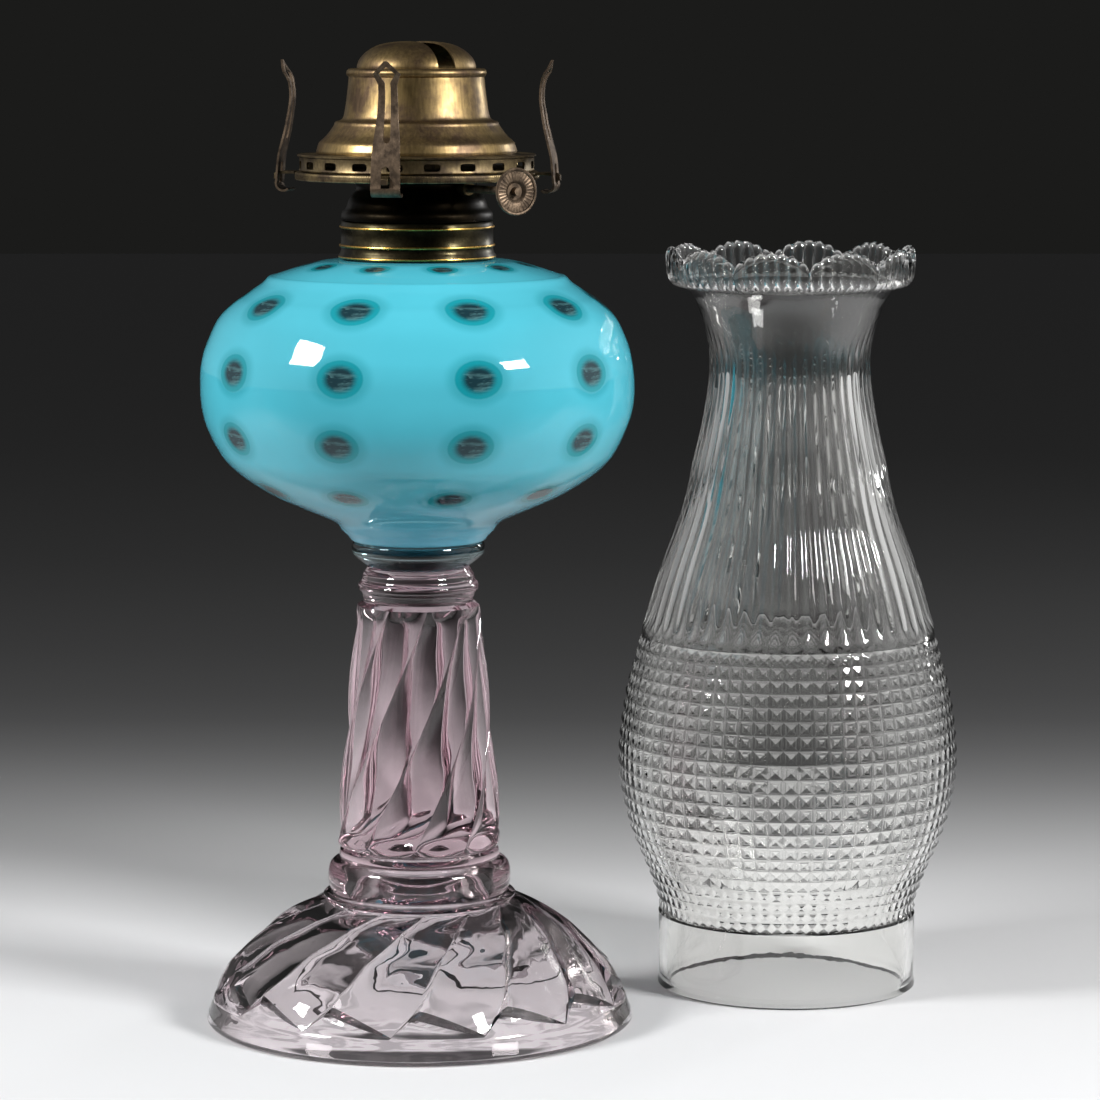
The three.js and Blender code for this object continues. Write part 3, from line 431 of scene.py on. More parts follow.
# Pressed foot and stem in one: lobes that sweep up to the right, three rings, a twisted fluted stem
footSet = {
    "columns": 280,
    "lobes": 14,
    "phases": [
        0, 0.02, 0.05, 0.1, 0.16, 0.23, 0.3, 0.37, 0.44, 0.5, 0.56, 0.62, 0.68, 0.74, 0.8, 0.85, 0.9,
        0.94, 0.97, 0.99,
    ],
    # how deep a lobe is cut at shares of its width
    "lobeCut": [
        (0, 1.7), (0.02, 1.2), (0.05, 0.85), (0.1, 0.48), (0.18, 0.17), (0.3, 0), (0.44, 0.35), (0.56, 0.62),
        (0.68, 1), (0.8, 1.46), (0.9, 1.94), (0.97, 2.35), (0.99, 2.3),
    ],
    "tipAzimuth": -5.05, "tip": 7.6, "notch": 14.6, "band": 5.4, "bandTop": 7.2, "bandTilt": 0.8,
    "leafFoot": 11.3, "leafFootCurve": 1.8, "leafCurve": 1.2, "leafFold": 0.38, "leafDepth": 1.1,
    "domeTop": 35.7,
    "sweep": [(7, -1.5), (14.5, 6.5), (25, 14), (32, 25), (34, 31), (36, 39)],
    "flutes": 10, "fluteDepth": 2.5, "flutePower": 0.75, "fluteEnds": (14, 18),
    "twistPerMm": 1.24, "ridgeAzimuth": 10.8, "ridgeLevel": 92, "stemBase": 50.4, "stemTop": 121,
    "rim": [(56.3, 0), (59.6, 0), (60.6, 0.25), (61.2, 0.9), (61.3, 1.7), (60.9, 2.6)],
    "dome": [
        (60.9, 2.6), (60.3, 4), (59.8, 5.4), (59.2, 7.2), (58.5, 9), (57.7, 11.3), (56.3, 14),
        (54.6, 16.3), (52.5, 18.6), (49.7, 21.6), (46.8, 24.3), (43.8, 26.9), (39.5, 29.8),
        (35, 32.4), (31, 34.3), (28.6, 35.3), (27.2, 35.7),
    ],
    "rings": [
        (27.2, 35.7), (27.5, 36.2), (27.5, 36.9), (27, 37.4), (25.6, 37.7), (25.3, 38), (25.8, 39),
        (26.15, 40.6), (26.2, 42.4), (26, 44.2), (25.4, 45.8), (24.2, 46.8), (22.9, 47), (22.6, 47.2),
        (22.95, 47.8), (23, 48.8), (22.7, 49.7), (21.6, 50.1), (21.2, 50.4),
    ],
    "stem": [
        (21.2, 50.4), (23.2, 51.2), (23.9, 52.4), (23.8, 54.5), (23.4, 60), (22.6, 68), (21.6, 78),
        (20.8, 88), (19.9, 98), (19.1, 107), (18.4, 115), (18, 118.6), (17.6, 120.2), (16.2, 121),
    ],
    "collar": [
        (16.2, 121), (15.7, 121.4), (15.6, 122), (15.9, 122.8), (16.2, 123.9), (17, 124.8), (17.2, 125.6),
        (17, 126.4), (16.2, 127.4), (15.9, 128.5), (15.6, 129.4), (15, 130.2), (14.7, 130.8), (14.5, 131.1),
    ],
    "hollow": [
        (0, 47), (5, 46.6), (9, 45), (12, 42), (14.6, 38), (18.5, 34), (24, 30.6), (33, 26.6), (41, 21),
        (47.5, 15), (52, 8.6), (54.6, 3.4), (56.3, 0),
    ],
}


def between(points, at):
    # a value read off a run of (place, value) points
    for (low, first), (high, second) in zip(points, points[1:]):
        if at <= high:
            return first + (second - first) * (at - low) / (high - low)
    return points[-1][1]


domeRadii = [(height, radius) for radius, height in curveThrough(footSet["dome"], 0.3)]


def shapeLobe(radius, azimuth, height):
    # each lobe swells from its left edge and sinks into a groove at its right. Its lower end is cut by a
    # scooped leaf that falls from the notch at its left to the tip at its right, and a sloping triangle
    # lies between the leaf and the plain band
    tip, notch, top = footSet["tip"], footSet["notch"], footSet["domeTop"]
    pitch = 2 * math.pi / footSet["lobes"]
    space = 2 * math.pi / footSet["columns"]
    step = round((azimuth % (2 * math.pi)) / space)
    each = footSet["columns"] // footSet["lobes"]
    phase = footSet["phases"][step % each]
    leafLow = tip + (footSet["leafFoot"] - tip) * (1 - phase) ** footSet["leafFootCurve"]
    leafHigh = tip + (notch - tip) * (1 - phase ** footSet["leafCurve"])
    band, bandTop = footSet["band"], footSet["bandTop"]
    level = between(
        [(0, 0), (2.6, 2.6), (band, bandTop), (tip, leafLow), (notch, leafHigh), (top, top)], height
    )
    radius += between(domeRadii, level) - between(domeRadii, height) if height > 2.6 else 0
    width = (4 * phase * (1 - phase)) ** 0.5
    recess = footSet["bandTilt"] * (leafLow - bandTop)
    if height <= band:
        depth = 0
    elif height <= tip:
        depth = recess * (height - band) / (tip - band)
    elif height <= notch:
        up = (height - tip) / (notch - tip)
        fold = min(up / footSet["leafFold"], (1 - up) / (1 - footSet["leafFold"]))
        depth = recess * (1 - up) + footSet["leafDepth"] * width * fold
    else:
        rise = min(1, (level - leafHigh) / 6) * min(1, (top - level) / 3)
        depth = between(footSet["lobeCut"], phase) * rise
    # the first and last rows keep even columns, to meet their neighbours
    turn = math.radians(footSet["tipAzimuth"] + between(footSet["sweep"], level))
    even = (step + round(turn / space)) * space
    onLobe = min(1, level / 5) * min(1, (top - level) / 1.5)
    turned = turn + (step // each + phase) * pitch
    return radius - depth, even + (turned - even) * onLobe, level


def shapeFlute(radius, azimuth, height):
    # scoops between sharp ridges, with curved ends
    climb = (height - footSet["stemBase"]) / (footSet["stemTop"] - footSet["stemBase"])
    if not 0 < climb < 1:
        return radius, azimuth, height
    turn = footSet["ridgeAzimuth"] + footSet["twistPerMm"] * (height - footSet["ridgeLevel"])
    scoop = abs(math.sin(footSet["flutes"] * azimuth / 2)) ** footSet["flutePower"]
    ends = min(1, climb * footSet["fluteEnds"][0], (1 - climb) * footSet["fluteEnds"][1])
    return radius - footSet["fluteDepth"] * scoop * ends, azimuth + math.radians(turn), height


def makeFoot():
    columns = footSet["columns"]
    levels = [footSet["band"], footSet["tip"], footSet["notch"], footSet["notch"] + 0.25]
    dome = curveThrough(footSet["dome"], 0.6)
    dome = [point for point in dome if all(abs(point[1] - level) > 0.3 for level in levels)]
    edges = [(between(domeRadii, level), level) for level in levels]
    lower = sorted(footSet["rim"][2:-1] + dome + edges, key=lambda point: point[1])
    lower = footSet["rim"][:2] + lower
    parts = [
        reshaped(spun(lower, columns), shapeLobe),
        spun(curveThrough(footSet["rings"], 0.7), columns),
        reshaped(spun(curveThrough(footSet["stem"], 1.1), columns), shapeFlute),
        spun(curveThrough(footSet["collar"], 0.6) + [(0, 131.1)], columns),
        spun(curveThrough(footSet["hollow"], 2.2), columns),
    ]
    return joined(parts, 0.02)


addPiece(
    "footGlass", makeFoot(), "base", clearGlass["amethyst"], ["pressed_foot"], crease=38
)
print("foot and stem made")

# Wafer
waferSet = {
    "profile": [
        (0, 131.4), (14.2, 131.4), (14.8, 131.7), (16.4, 132.8), (17.8, 134), (18.7, 135.1), (18.95, 136),
        (18.95, 137.4), (18.6, 138.1), (17.8, 138.3), (0, 138.3),
    ],
}
wafer = spun(waferSet["profile"], 160)
addPiece("waferGlass", wafer, "base", clearGlass["wafer"], ["font_wafer"])

# Font: opal-lined turquoise glass, and the dots where the lining is missing
fontSet = {
    "columns": 260,
    "outside": [
        (18.4, 138.6), (19.1, 138.9), (20.2, 140.3), (21.9, 142), (23.05, 143.7), (25.9, 145.4),
        (34, 148.9), (41.4, 152.3), (47.2, 155.8), (51.7, 159.2), (55, 162.6), (57.1, 166), (58.9, 169.5),
        (60.2, 172.9), (61, 176.3), (61.4, 179.7), (61.5, 183.1), (61.35, 188.2), (60.6, 192), (59.5, 195),
        (57.2, 200.2), (54.9, 203.6), (51.5, 206.9), (48.8, 208.6), (46.2, 210.3), (43.7, 212),
        (42.4, 213.4),
    ],
    "shoulder": [(42.4, 213.4), (41.8, 213.9), (41, 214)],
    "slope": [(41, 214), (34, 216.3), (28, 217.9), (24.6, 218.3), (22.6, 218.5)],
    "neck": [(22.6, 218.5), (19.4, 218.6), (19.4, 226), (17, 226), (17, 214)],
    "inside": [
        (17, 214), (30, 212.6), (43.7, 206.9), (52, 200.6), (56.6, 191.9), (57.8, 181.9), (55.8, 171.3),
        (50, 161.3), (39.3, 153.2), (24.3, 148.3), (0, 147.6),
    ],
    "base": [(18.4, 138.6), (0, 138.6)],
    "dotColumns": 10,
    "dotAzimuth": 18,
    # for each row: radius, height, turn in degrees, half width and half height in mm
    "dotRows": [
        (30.5, 217.1, -3, 4.6, 3.6),
        (51, 207.2, 0.2, 7.2, 5.6),
        (61.2, 189.3, -0.5, 6.9, 5.4),
        (59.4, 170.6, -2.2, 6.7, 5.2),
        (46, 155, -5.2, 6.3, 4.8),
    ],
    "dimple": 0.3,
    # how far a dot's hollow and its colours reach, with 1 at its edge
    "dimpleReach": 1.25,
    "colorReach": 1.6,
    "glass": "#4fb8cb",
    "low": "#66b6cf",
    "halo": "#2f99a8",
    "ring": "#128f9b",
    # painted shade of the font's dark inside seen through a dot, and the painted light that streaks it
    "heart": "#12323a",
    "paintedLight": "#5f8f92",
    # heights in m at which the low colour starts and is full
    "lowSpan": (0.158, 0.14),
    "cloudScale": 45,
    "cloudSpan": (0, 1, 0.9, 1.08),
    # distances from a dot's middle, with 1 at its edge, and the share of the colour inside them
    "haloSpan": (1.55, 1.02, 0, 0.62),
    "rimSpan": (1.03, 0.93),
    "heartSpan": (0.86, 0.45),
    "streakShape": (0.7, 4, 1),
    "paintedLightSpan": (0.5, 0.78, 0, 0.75),
}


def nearestDot(place):
    # where a point lies in its nearest dot: across, up, and how far from its middle, with 1 at its edge
    radius, azimuth = math.hypot(place.x, place.y), math.degrees(math.atan2(place.x, -place.y))
    pitch = 360 / fontSet["dotColumns"]
    best = (9, 9, 9)
    for row, (dotRadius, dotHeight, turn, halfWidth, halfHeight) in enumerate(fontSet["dotRows"]):
        offset = (azimuth - fontSet["dotAzimuth"] - turn + pitch / 2) % pitch - pitch / 2
        across = math.radians(offset) * radius / halfWidth
        along = math.hypot(radius - dotRadius, place.z - dotHeight)
        up = math.copysign(along, place.z - dotHeight + (dotRadius - radius) * 0.5) / halfHeight
        if math.hypot(across, up) < math.hypot(*best[:2]):
            best = (across, up, row)
    return best


def pressDots(bm):
    for vert in bm.verts:
        across, up, _ = nearestDot(vert.co / mm)
        reach = math.hypot(across, up)
        if reach < fontSet["dimpleReach"]:
            inward = Vector((-vert.co.x, -vert.co.y, 0)).normalized() + Vector((0, 0, -0.3))
            swell = math.cos(math.pi * reach / fontSet["dimpleReach"])
            vert.co += inward * fontSet["dimple"] * mm * (0.5 + 0.5 * swell)
    return bm


def makeFont():
    columns = fontSet["columns"]
    parts = [pressDots(spun(curveThrough(fontSet[name], 0.9), columns)) for name in ("outside", "slope")]
    inside = curveThrough(fontSet["inside"], 3)
    for run in (fontSet["shoulder"], fontSet["neck"], inside, fontSet["base"]):
        parts.append(spun(run, columns))
    return joined(parts, 0.02)


def makeTurquoiseGlass():
    # opal glass under clear turquoise: glossy and milky, with clear dots that have a bright rim and a middle
    # painted dark as shade of the font's inside
    material, tree, shader, place = startMaterial("turquoiseGlass", {"Roughness": 0.04, "IOR": glassIor})
    dot = addNode(tree, "Attribute", {"attribute_name": "dot"}, {}).outputs["Vector"]
    reach = along(tree, dot, "Z")
    height = along(tree, place, "Z")
    clouds = noisy(tree, place, fontSet["cloudScale"], 3)
    # milky body, bluer and thinner towards the peg
    milk = blended(tree, ranged(tree, height, fontSet["lowSpan"]), fontSet["glass"], fontSet["low"])
    body = scaled(tree, milk, ranged(tree, clouds, fontSet["cloudSpan"]))
    # a soft darker halo, a saturated rim, then the dark heart, painted shade of the font's dark inside seen
    # through the dot, with streaks of painted light in it
    spans = [fontSet[name] for name in ("haloSpan", "heartSpan", "rimSpan")]
    inHalo, inHeart, inRim = [ranged(tree, reach, span, smooth=True) for span in spans]
    haloed = blended(tree, inHalo, body, fontSet["halo"])
    stretched = addNode(tree, "Mapping", {}, {"Vector": dot, "Scale": fontSet["streakShape"]}).outputs[0]
    # painted light: streaks of light in the dot's dark middle
    paintedLight = ranged(tree, noisy(tree, stretched, 1.6, 4, distortion=0.6), fontSet["paintedLightSpan"])
    heart = blended(tree, paintedLight, fontSet["heart"], fontSet["paintedLight"])
    lens = blended(tree, inHeart, fontSet["ring"], heart)
    color = blended(tree, inRim, haloed, lens)
    tree.links.new(color, shader.inputs["Base Color"])
    return material


fontPiece = addPiece(
    "fontGlass", makeFont(), "base", makeTurquoiseGlass(), ["font"], crease=50
)
dots = fontPiece.data.attributes.new("dot", "FLOAT_VECTOR", "POINT")
for vert, item in zip(fontPiece.data.vertices, dots.data):
    outside = vert.normal.x * vert.co.x + vert.normal.y * vert.co.y + vert.normal.z * 0.02 > 0
    across, up, row = nearestDot(vert.co / mm)
    reach = min(3, math.hypot(across, up)) if outside else 3
    item.vector = (across, up, reach) if reach < fontSet["colorReach"] else (0, 0, reach)
print("font made")


# Brass, by its patina
brassSet = {
    "streakScale": 1400,
    "mottleSpan": (0.35, 0.7, 0.75, 1.15),
    # blotches from and to which the roughness goes from less to more than the look's own
    "glossSpan": (0.3, 0.7),
    "glossShift": (-0.06, 0.14),
    "grainStrength": 0.6,
}


def makeBrass(name, look):
    # old brass has lost its shine where hands don't reach: brown blotches and fine streaks
    metal, patina, roughness, blotch, streak, patinaSpan, grain = look
    material, tree, shader, place = startMaterial(name, {"Metallic": 1, "Roughness": roughness})
    blotches = noisy(tree, place, 1 / (blotch * mm), 6, roughness=0.6)
    # streaks run up and down the drawn sheet
    stretched = addNode(tree, "Mapping", {}, {"Vector": place, "Scale": (1, 1, streak)}).outputs[0]
    streaks = noisy(tree, stretched, brassSet["streakScale"], 3)
    color = blended(tree, ranged(tree, blotches, patinaSpan), metal, patina)
    worn = scaled(tree, color, ranged(tree, streaks, brassSet["mottleSpan"]))
    spread = [roughness + shift for shift in brassSet["glossShift"]]
    gloss = ranged(tree, blotches, (*brassSet["glossSpan"], *spread))
    tree.links.new(worn, shader.inputs["Base Color"])
    tree.links.new(gloss, shader.inputs["Roughness"])
    addBump(tree, shader, streaks, grain, brassSet["grainStrength"])
    return material


brassLooks = {
    # metal, patina, roughness, size of the blotches in mm, stretch of the streaks, where the blotches
    # turn to patina, and height of the grain in mm
    "bell": ("#a58c5e", "#63513f", 0.36, 9, 0.12, (0.4, 0.62), 0.02),
    "gallery": ("#8c7a58", "#4b4033", 0.4, 6, 0.5, (0.38, 0.6), 0.015),
    "dark": ("#443e2c", "#201b12", 0.3, 7, 1, (0.4, 0.6), 0.01),
    "body": ("#201a12", "#100d08", 0.3, 8, 1, (0.4, 0.62), 0.01),
    "bead": ("#c99f52", "#8c6c37", 0.28, 5, 1, (0.45, 0.7), 0.005),
    "bronze": ("#7c6a58", "#4b4036", 0.5, 4, 0.6, (0.4, 0.62), 0.03),
}
brass = {name: makeBrass(name + "Brass", look) for name, look in brassLooks.items()}

# Collar, its bright beads, and the burner's body
collarSet = {
    "profile": [
        (20.8, 218.9), (22, 218.9), (22.2, 219.3), (22.15, 219.9), (21.7, 220.6), (21.45, 221.4),
        (21.45, 222), (21.7, 222.3), (21.7, 222.9), (21.5, 223.3), (21.5, 227.1), (21.65, 227.5),
        (21.65, 228.1), (21.4, 228.5), (21.35, 229.1), (21.1, 229.4), (15.9, 229.4), (15.9, 221.8),
        (16.6, 221.8), (16.6, 228.7), (20.8, 228.7), (20.8, 218.9),
    ],
    "beads": [(21.62, 222.6, 0.42), (21.55, 227.8, 0.36), (21.95, 219.4, 0.34)],
}
addPiece("collarBrass", spun(collarSet["profile"], 160), "base", brass["dark"], ["collar"])
for number, (radius, height, thick) in enumerate(collarSet["beads"], 1):
    loop = [
        (radius + thick * math.cos(turn * math.pi / 5), height + thick * math.sin(turn * math.pi / 5))
        for turn in range(10)
    ]
    addPiece(f"collarBead{number}", spun(loop + loop[:1], 160), "base", brass["bead"])

bodySet = {
    "outside": [
        (21.35, 229.7), (21.45, 230.2), (21.4, 231.2), (21.15, 232), (20.5, 232.6), (19.9, 233.4),
        (19.6, 234.4), (19.2, 235.5), (18.3, 236.7), (17.5, 237.6), (17.15, 238.4), (17.1, 239.4),
        (17.3, 240), (17.1, 240.5), (17.1, 242.2), (18.8, 242.4), (18.8, 243.1),
    ],
    "inside": [
        (16.5, 243.1), (16.5, 238.4), (18, 236.6), (19, 234.3), (19.8, 232.7), (20.75, 231.2), (20.75, 229.7),
    ],
}
bodyLoop = bodySet["outside"] + bodySet["inside"]
bodyShell = spun(bodyLoop + bodyLoop[:1], 160)
addPiece("bodyBrass", bodyShell, "burner", brass["body"], ["burner_body"])
print("collar and body made")

# Gallery: knurled rim, slotted band and top plate
gallerySet = {
    "rim": [
        (30.5, 241), (34, 241), (34.25, 241.15), (34.4, 241.4), (34.4, 241.9), (34.4, 242.4),
        (34.4, 242.85), (34.25, 243.05), (34, 243.2), (30.5, 243.2), (30.5, 241),
    ],
    "teeth": 300,
    "toothDepth": 0.22,
    "toothLean": 1.3,
    "toothLevel": 242.1,
    "toothFrom": 34.2,
    "band": [
        (32.4, 243.5), (33, 243.5), (33.15, 243.8), (33, 244.1), (33, 246.9), (33.1, 247.3), (32.4, 247.3),
        (32.4, 243.5),
    ],
    "slots": 20,
    "slotSize": (4.6, 6, 2.1),
    "slotPlace": (0, -32.7, 245.3),
    "slotRound": 0.75,
    "plate": [
        (27.3, 247.6), (32.9, 247.6), (33.3, 247.5), (33.6, 247.65), (33.65, 247.9), (33.4, 248.15),
        (32.9, 248.1), (29.2, 248.1), (28.6, 248.35), (27.3, 248.1), (27.3, 247.6),
    ],
}


def cutTooth(radius, azimuth, height):
    if radius < gallerySet["toothFrom"]:
        return radius, azimuth, height
    lean = gallerySet["toothLean"] * (height - gallerySet["toothLevel"])
    wave = abs((gallerySet["teeth"] * azimuth / (2 * math.pi) + lean) % 1 - 0.5) * 2
    return radius - gallerySet["toothDepth"] * wave, azimuth, height


rim = reshaped(spun(gallerySet["rim"], gallerySet["teeth"] * 4, 40), cutTooth)
addPiece("galleryRimBrass", rim, "burner", brass["gallery"], ["gallery_rim"], crease=50)


def makeSlots():
    bm = bmesh.new()
    for i in range(gallerySet["slots"]):
        bar = block(bm, gallerySet["slotSize"])
        ends = [e for v in bar for e in v.link_edges if abs(e.verts[0].co.y - e.verts[1].co.y) > mm]
        faces = rounded(bm, list(set(ends)), gallerySet["slotRound"], 4)
        bar = list({v for face in faces for v in face.verts} | {v for v in bar if v.is_valid})
        moved(bm, bar, gallerySet["slotPlace"])
        turned(bm, (i + 0.5) * 2 * math.pi / gallerySet["slots"], verts=bar)
    return bm


band = combined(spun(gallerySet["band"], 160), makeSlots(), "DIFFERENCE")
addPiece("galleryBandBrass", band, "burner", brass["gallery"], ["gallery_band"])
plate = spun(gallerySet["plate"], 160)
addPiece("galleryPlateBrass", plate, "burner", brass["gallery"], ["gallery_plate"])
print("gallery made")

# Deflector: bell with its bead, and the slotted cap
bellSet = {
    "outside": [
        (26.4, 246.9), (26.9, 246.9), (26.9, 248.1), (28.1, 248.4), (28.25, 249), (27.9, 250.2),
        (27.6, 251.2), (27, 251.9), (26, 252.8), (25.1, 253.7), (24.2, 254.9), (23.5, 255.9),
        (23.15, 256.5), (23.1, 256.9), (22.7, 257.3), (21.6, 257.6), (20.9, 258.1), (20.5, 259), (20, 261.5),
        (19.6, 264.5), (19.25, 267.5), (19.1, 269.2), (19.05, 269.7), (19.4, 270), (19.65, 270.5),
        (19.7, 271), (19.5, 271.6), (19, 272), (18.3, 272.1), (17.2, 272.1), (16.9, 271.9),
    ],
    "wall": (0.5, 0.3),
    "lip": [(16.9, 271.5), (18.1, 271.6)],
    "foot": [(26.4, 248.1), (26.4, 246.9)],
}


def innerFace(outside, wall):
    # the inner face of a sheet from its top down; wall is how far it lies inwards and below
    return [(max(0, radius - wall[0]), height - wall[1]) for radius, height in reversed(outside)]


def makeBell():
    outside = bellSet["outside"]
    face = outside[:3] + curveThrough(outside[3:], 0.45)
    inside = innerFace(outside[3:-4], bellSet["wall"])
    return spun(face + bellSet["lip"] + inside + bellSet["foot"], 160)


addPiece("bellBrass", makeBell(), "deflector", brass["bell"], ["deflector_bell"], crease=50)

capSet = {
    "outside": [
        (17.7, 270.1), (17.7, 271.2), (16.6, 271.2), (16.75, 272.3), (16.75, 272.8), (16.5, 273.6),
        (15.9, 274.8), (14.9, 276), (13.3, 277.3), (11.2, 278.4), (8.8, 279.1), (6, 279.5), (3, 279.68),
        (0, 279.7),
    ],
    "wall": (0.5, 0.45),
    "foot": [(16.1, 270.1), (17.7, 270.1)],
    "slotSize": (5.6, 60, 10),
    "slotPlace": (0, 0, 277.2),
    "azimuth": 32.5,
}


def makeCap():
    outside = capSet["outside"]
    face = outside[:4] + curveThrough(outside[4:], 0.8)
    shell = spun(face + innerFace(outside[4:], capSet["wall"]) + capSet["foot"], 120)
    slot = bmesh.new()
    block(slot, capSet["slotSize"], capSet["slotPlace"])
    return combined(shell, turned(slot, math.radians(capSet["azimuth"])), "DIFFERENCE")


addPiece("capBrass", makeCap(), "deflector", brass["bell"], ["deflector_cap"], edge=0.12)
print("deflector made")

# Prongs and their arms
prongSet = {
    "count": 4,
    "azimuth": -10.8,
    # right halves of the outline and of the two slots
    "outline": [
        (4.15, 237.2), (4.15, 243.2), (4, 248), (3.75, 252), (2.9, 260), (2.6, 266.9), (2.6, 268),
        (3.85, 271), (0.4, 274.5),
    ],
    "legSlot": [(0, 252.1), (0.75, 252.5), (1, 253.4), (0.8, 268.6), (2.35, 271), (0, 273)],
    "tongueSlot": [(1.25, 239.9), (1.25, 244.6), (0.9, 245.5), (0, 245.9)],
    "middle": [
        (39.95, 239.6), (39.75, 241.6), (39.6, 243.5), (39.3, 246.7), (38.7, 249.6),
        (38, 252.2), (37.1, 256), (36.4, 259.8), (36, 262.4), (35.9, 264.8), (36.1, 267.3), (36.7, 269.6),
        (38, 272), (38.9, 274.6),
    ],
    "sheet": 0.6,
    "width": 8.3,
    "hook": 2.2,
    "hookMiddle": (37.8, 239.9),
}
armSet = {
    "width": 6.6,
    "path": [(34.7, 242.8), (37.5, 242.85), (39, 242.75), (40.2, 242.8), (40.8, 242.4), (40.9, 240.9)],
    "sheet": 0.8,
    # what is cut from each side of the tongue, and the middle of the right cut
    "cutSize": (8, 8, 12),
    "cutPlace": (4.95, -43.2, 242),
}


def bentSheet(path, sheet, width):
    # a strip of sheet that follows (outwards, up) points, its width across the local front
    def side(sign):
        points = []
        for i in range(len(path)):
            (x0, y0), (x1, y1) = path[max(i - 1, 0)], path[min(i + 1, len(path) - 1)]
            shift = sign * sheet / 2 / math.dist((x0, y0), (x1, y1))
            points.append((path[i][0] - (y1 - y0) * shift, path[i][1] + (x1 - x0) * shift))
        return points

    return turned(extruded(side(-1) + side(1)[::-1], [], width), -math.pi / 2)


def mirrored(half):
    return half + [(-across, up) for across, up in reversed(half) if across]


def makeProng():
    # a bent strip, cut to the outline of its front; the outline is kept in front of the lamp's axis
    across, up = prongSet["hookMiddle"]
    hook = [
        (across + prongSet["hook"] * math.cos(reach), up + prongSet["hook"] * math.sin(reach))
        for reach in map(math.radians, range(-130, 1, 13))
    ]
    path = hook + curveThrough(prongSet["middle"], 0.8)[1:]
    blade = bentSheet(path, prongSet["sheet"], prongSet["width"])
    outline, *slots = [mirrored(prongSet[name]) for name in ("outline", "legSlot", "tongueSlot")]
    plate = extruded(outline, slots, 90)
    front = bmesh.new()
    block(front, (90, 90, 90), (0, -45, 250))
    return combined(blade, combined(plate, front, "INTERSECT"), "INTERSECT")


def makeArm():
    bm = bentSheet(armSet["path"], armSet["sheet"], armSet["width"])
    for side in (-1, 1):
        corner = bmesh.new()
        across, front, up = armSet["cutPlace"]
        block(corner, armSet["cutSize"], (side * across, front, up))
        bm = combined(bm, corner, "DIFFERENCE")
    return bm


for i in range(1, prongSet["count"] + 1):
    turn = math.radians(prongSet["azimuth"] + 90 * (i - 1))
    prong, arm, node = turned(makeProng(), turn), turned(makeArm(), turn), f"prong_{i}"
    addPiece(f"prongBronze{i}", prong, node, brass["bronze"], [node], edge=0.12)
    addPiece(f"armBrass{i}", arm, "burner", brass["gallery"], [f"prong_arm_{i}"], edge=0.12)
print("prongs made")

# Wick knob: a stamped disc with a raised edge, a dished middle and plain ribs round its face
knobSet = {
    "reach": 4.45,
    "level": 239,
    "azimuth": 32.5,
    "profile": [
        (1.2, 44.1), (2.3, 44.1), (3.1, 44.9), (5.6, 45), (5.9, 45), (6.3, 45.2), (6.55, 45.5),
        (6.5, 45.9), (6.2, 46.1), (5.8, 46), (5.6, 45.7), (3.3, 45.65), (2.9, 45.4), (2.3, 44.8),
        (1.2, 44.75), (1.2, 44.1),
    ],
    "ribs": 30,
    "ribHeight": 0.16,
    "ribShare": 0.45,
    # the flat of the face, and the ring of ribs on it, in radii
    "faceLevel": 45.5,
    "face": (3.2, 5.7),
    "ring": (3.9, 5.2),
}


def makeKnob():
    level = knobSet["faceLevel"]

    def within(span, radius, height):
        return height > level and span[0] < radius < span[1]

    def raiseRib(radius, azimuth, height):
        share = (azimuth * knobSet["ribs"] / (2 * math.pi)) % 1
        ribbed = within(knobSet["ring"], radius, height) and share < knobSet["ribShare"]
        return radius, azimuth, height + knobSet["ribHeight"] * ribbed

    bm = spun(knobSet["profile"], knobSet["ribs"] * 6)
    starts = [(edge, edge.verts[0].co / mm) for edge in bm.edges]
    face = [edge for edge, at in starts if within(knobSet["face"], math.hypot(at.x, at.y), at.z)]
    bmesh.ops.subdivide_edges(bm, edges=face, cuts=1)
    turned(reshaped(bm, raiseRib), math.pi / 2, "X")
    moved(bm, bm.verts, (knobSet["reach"], 0, knobSet["level"]))
    return turned(bm, math.radians(knobSet["azimuth"]))


addPiece("knobBronze", makeKnob(), "wick_drive", brass["bronze"], ["wick_knob"])
print("knob made")

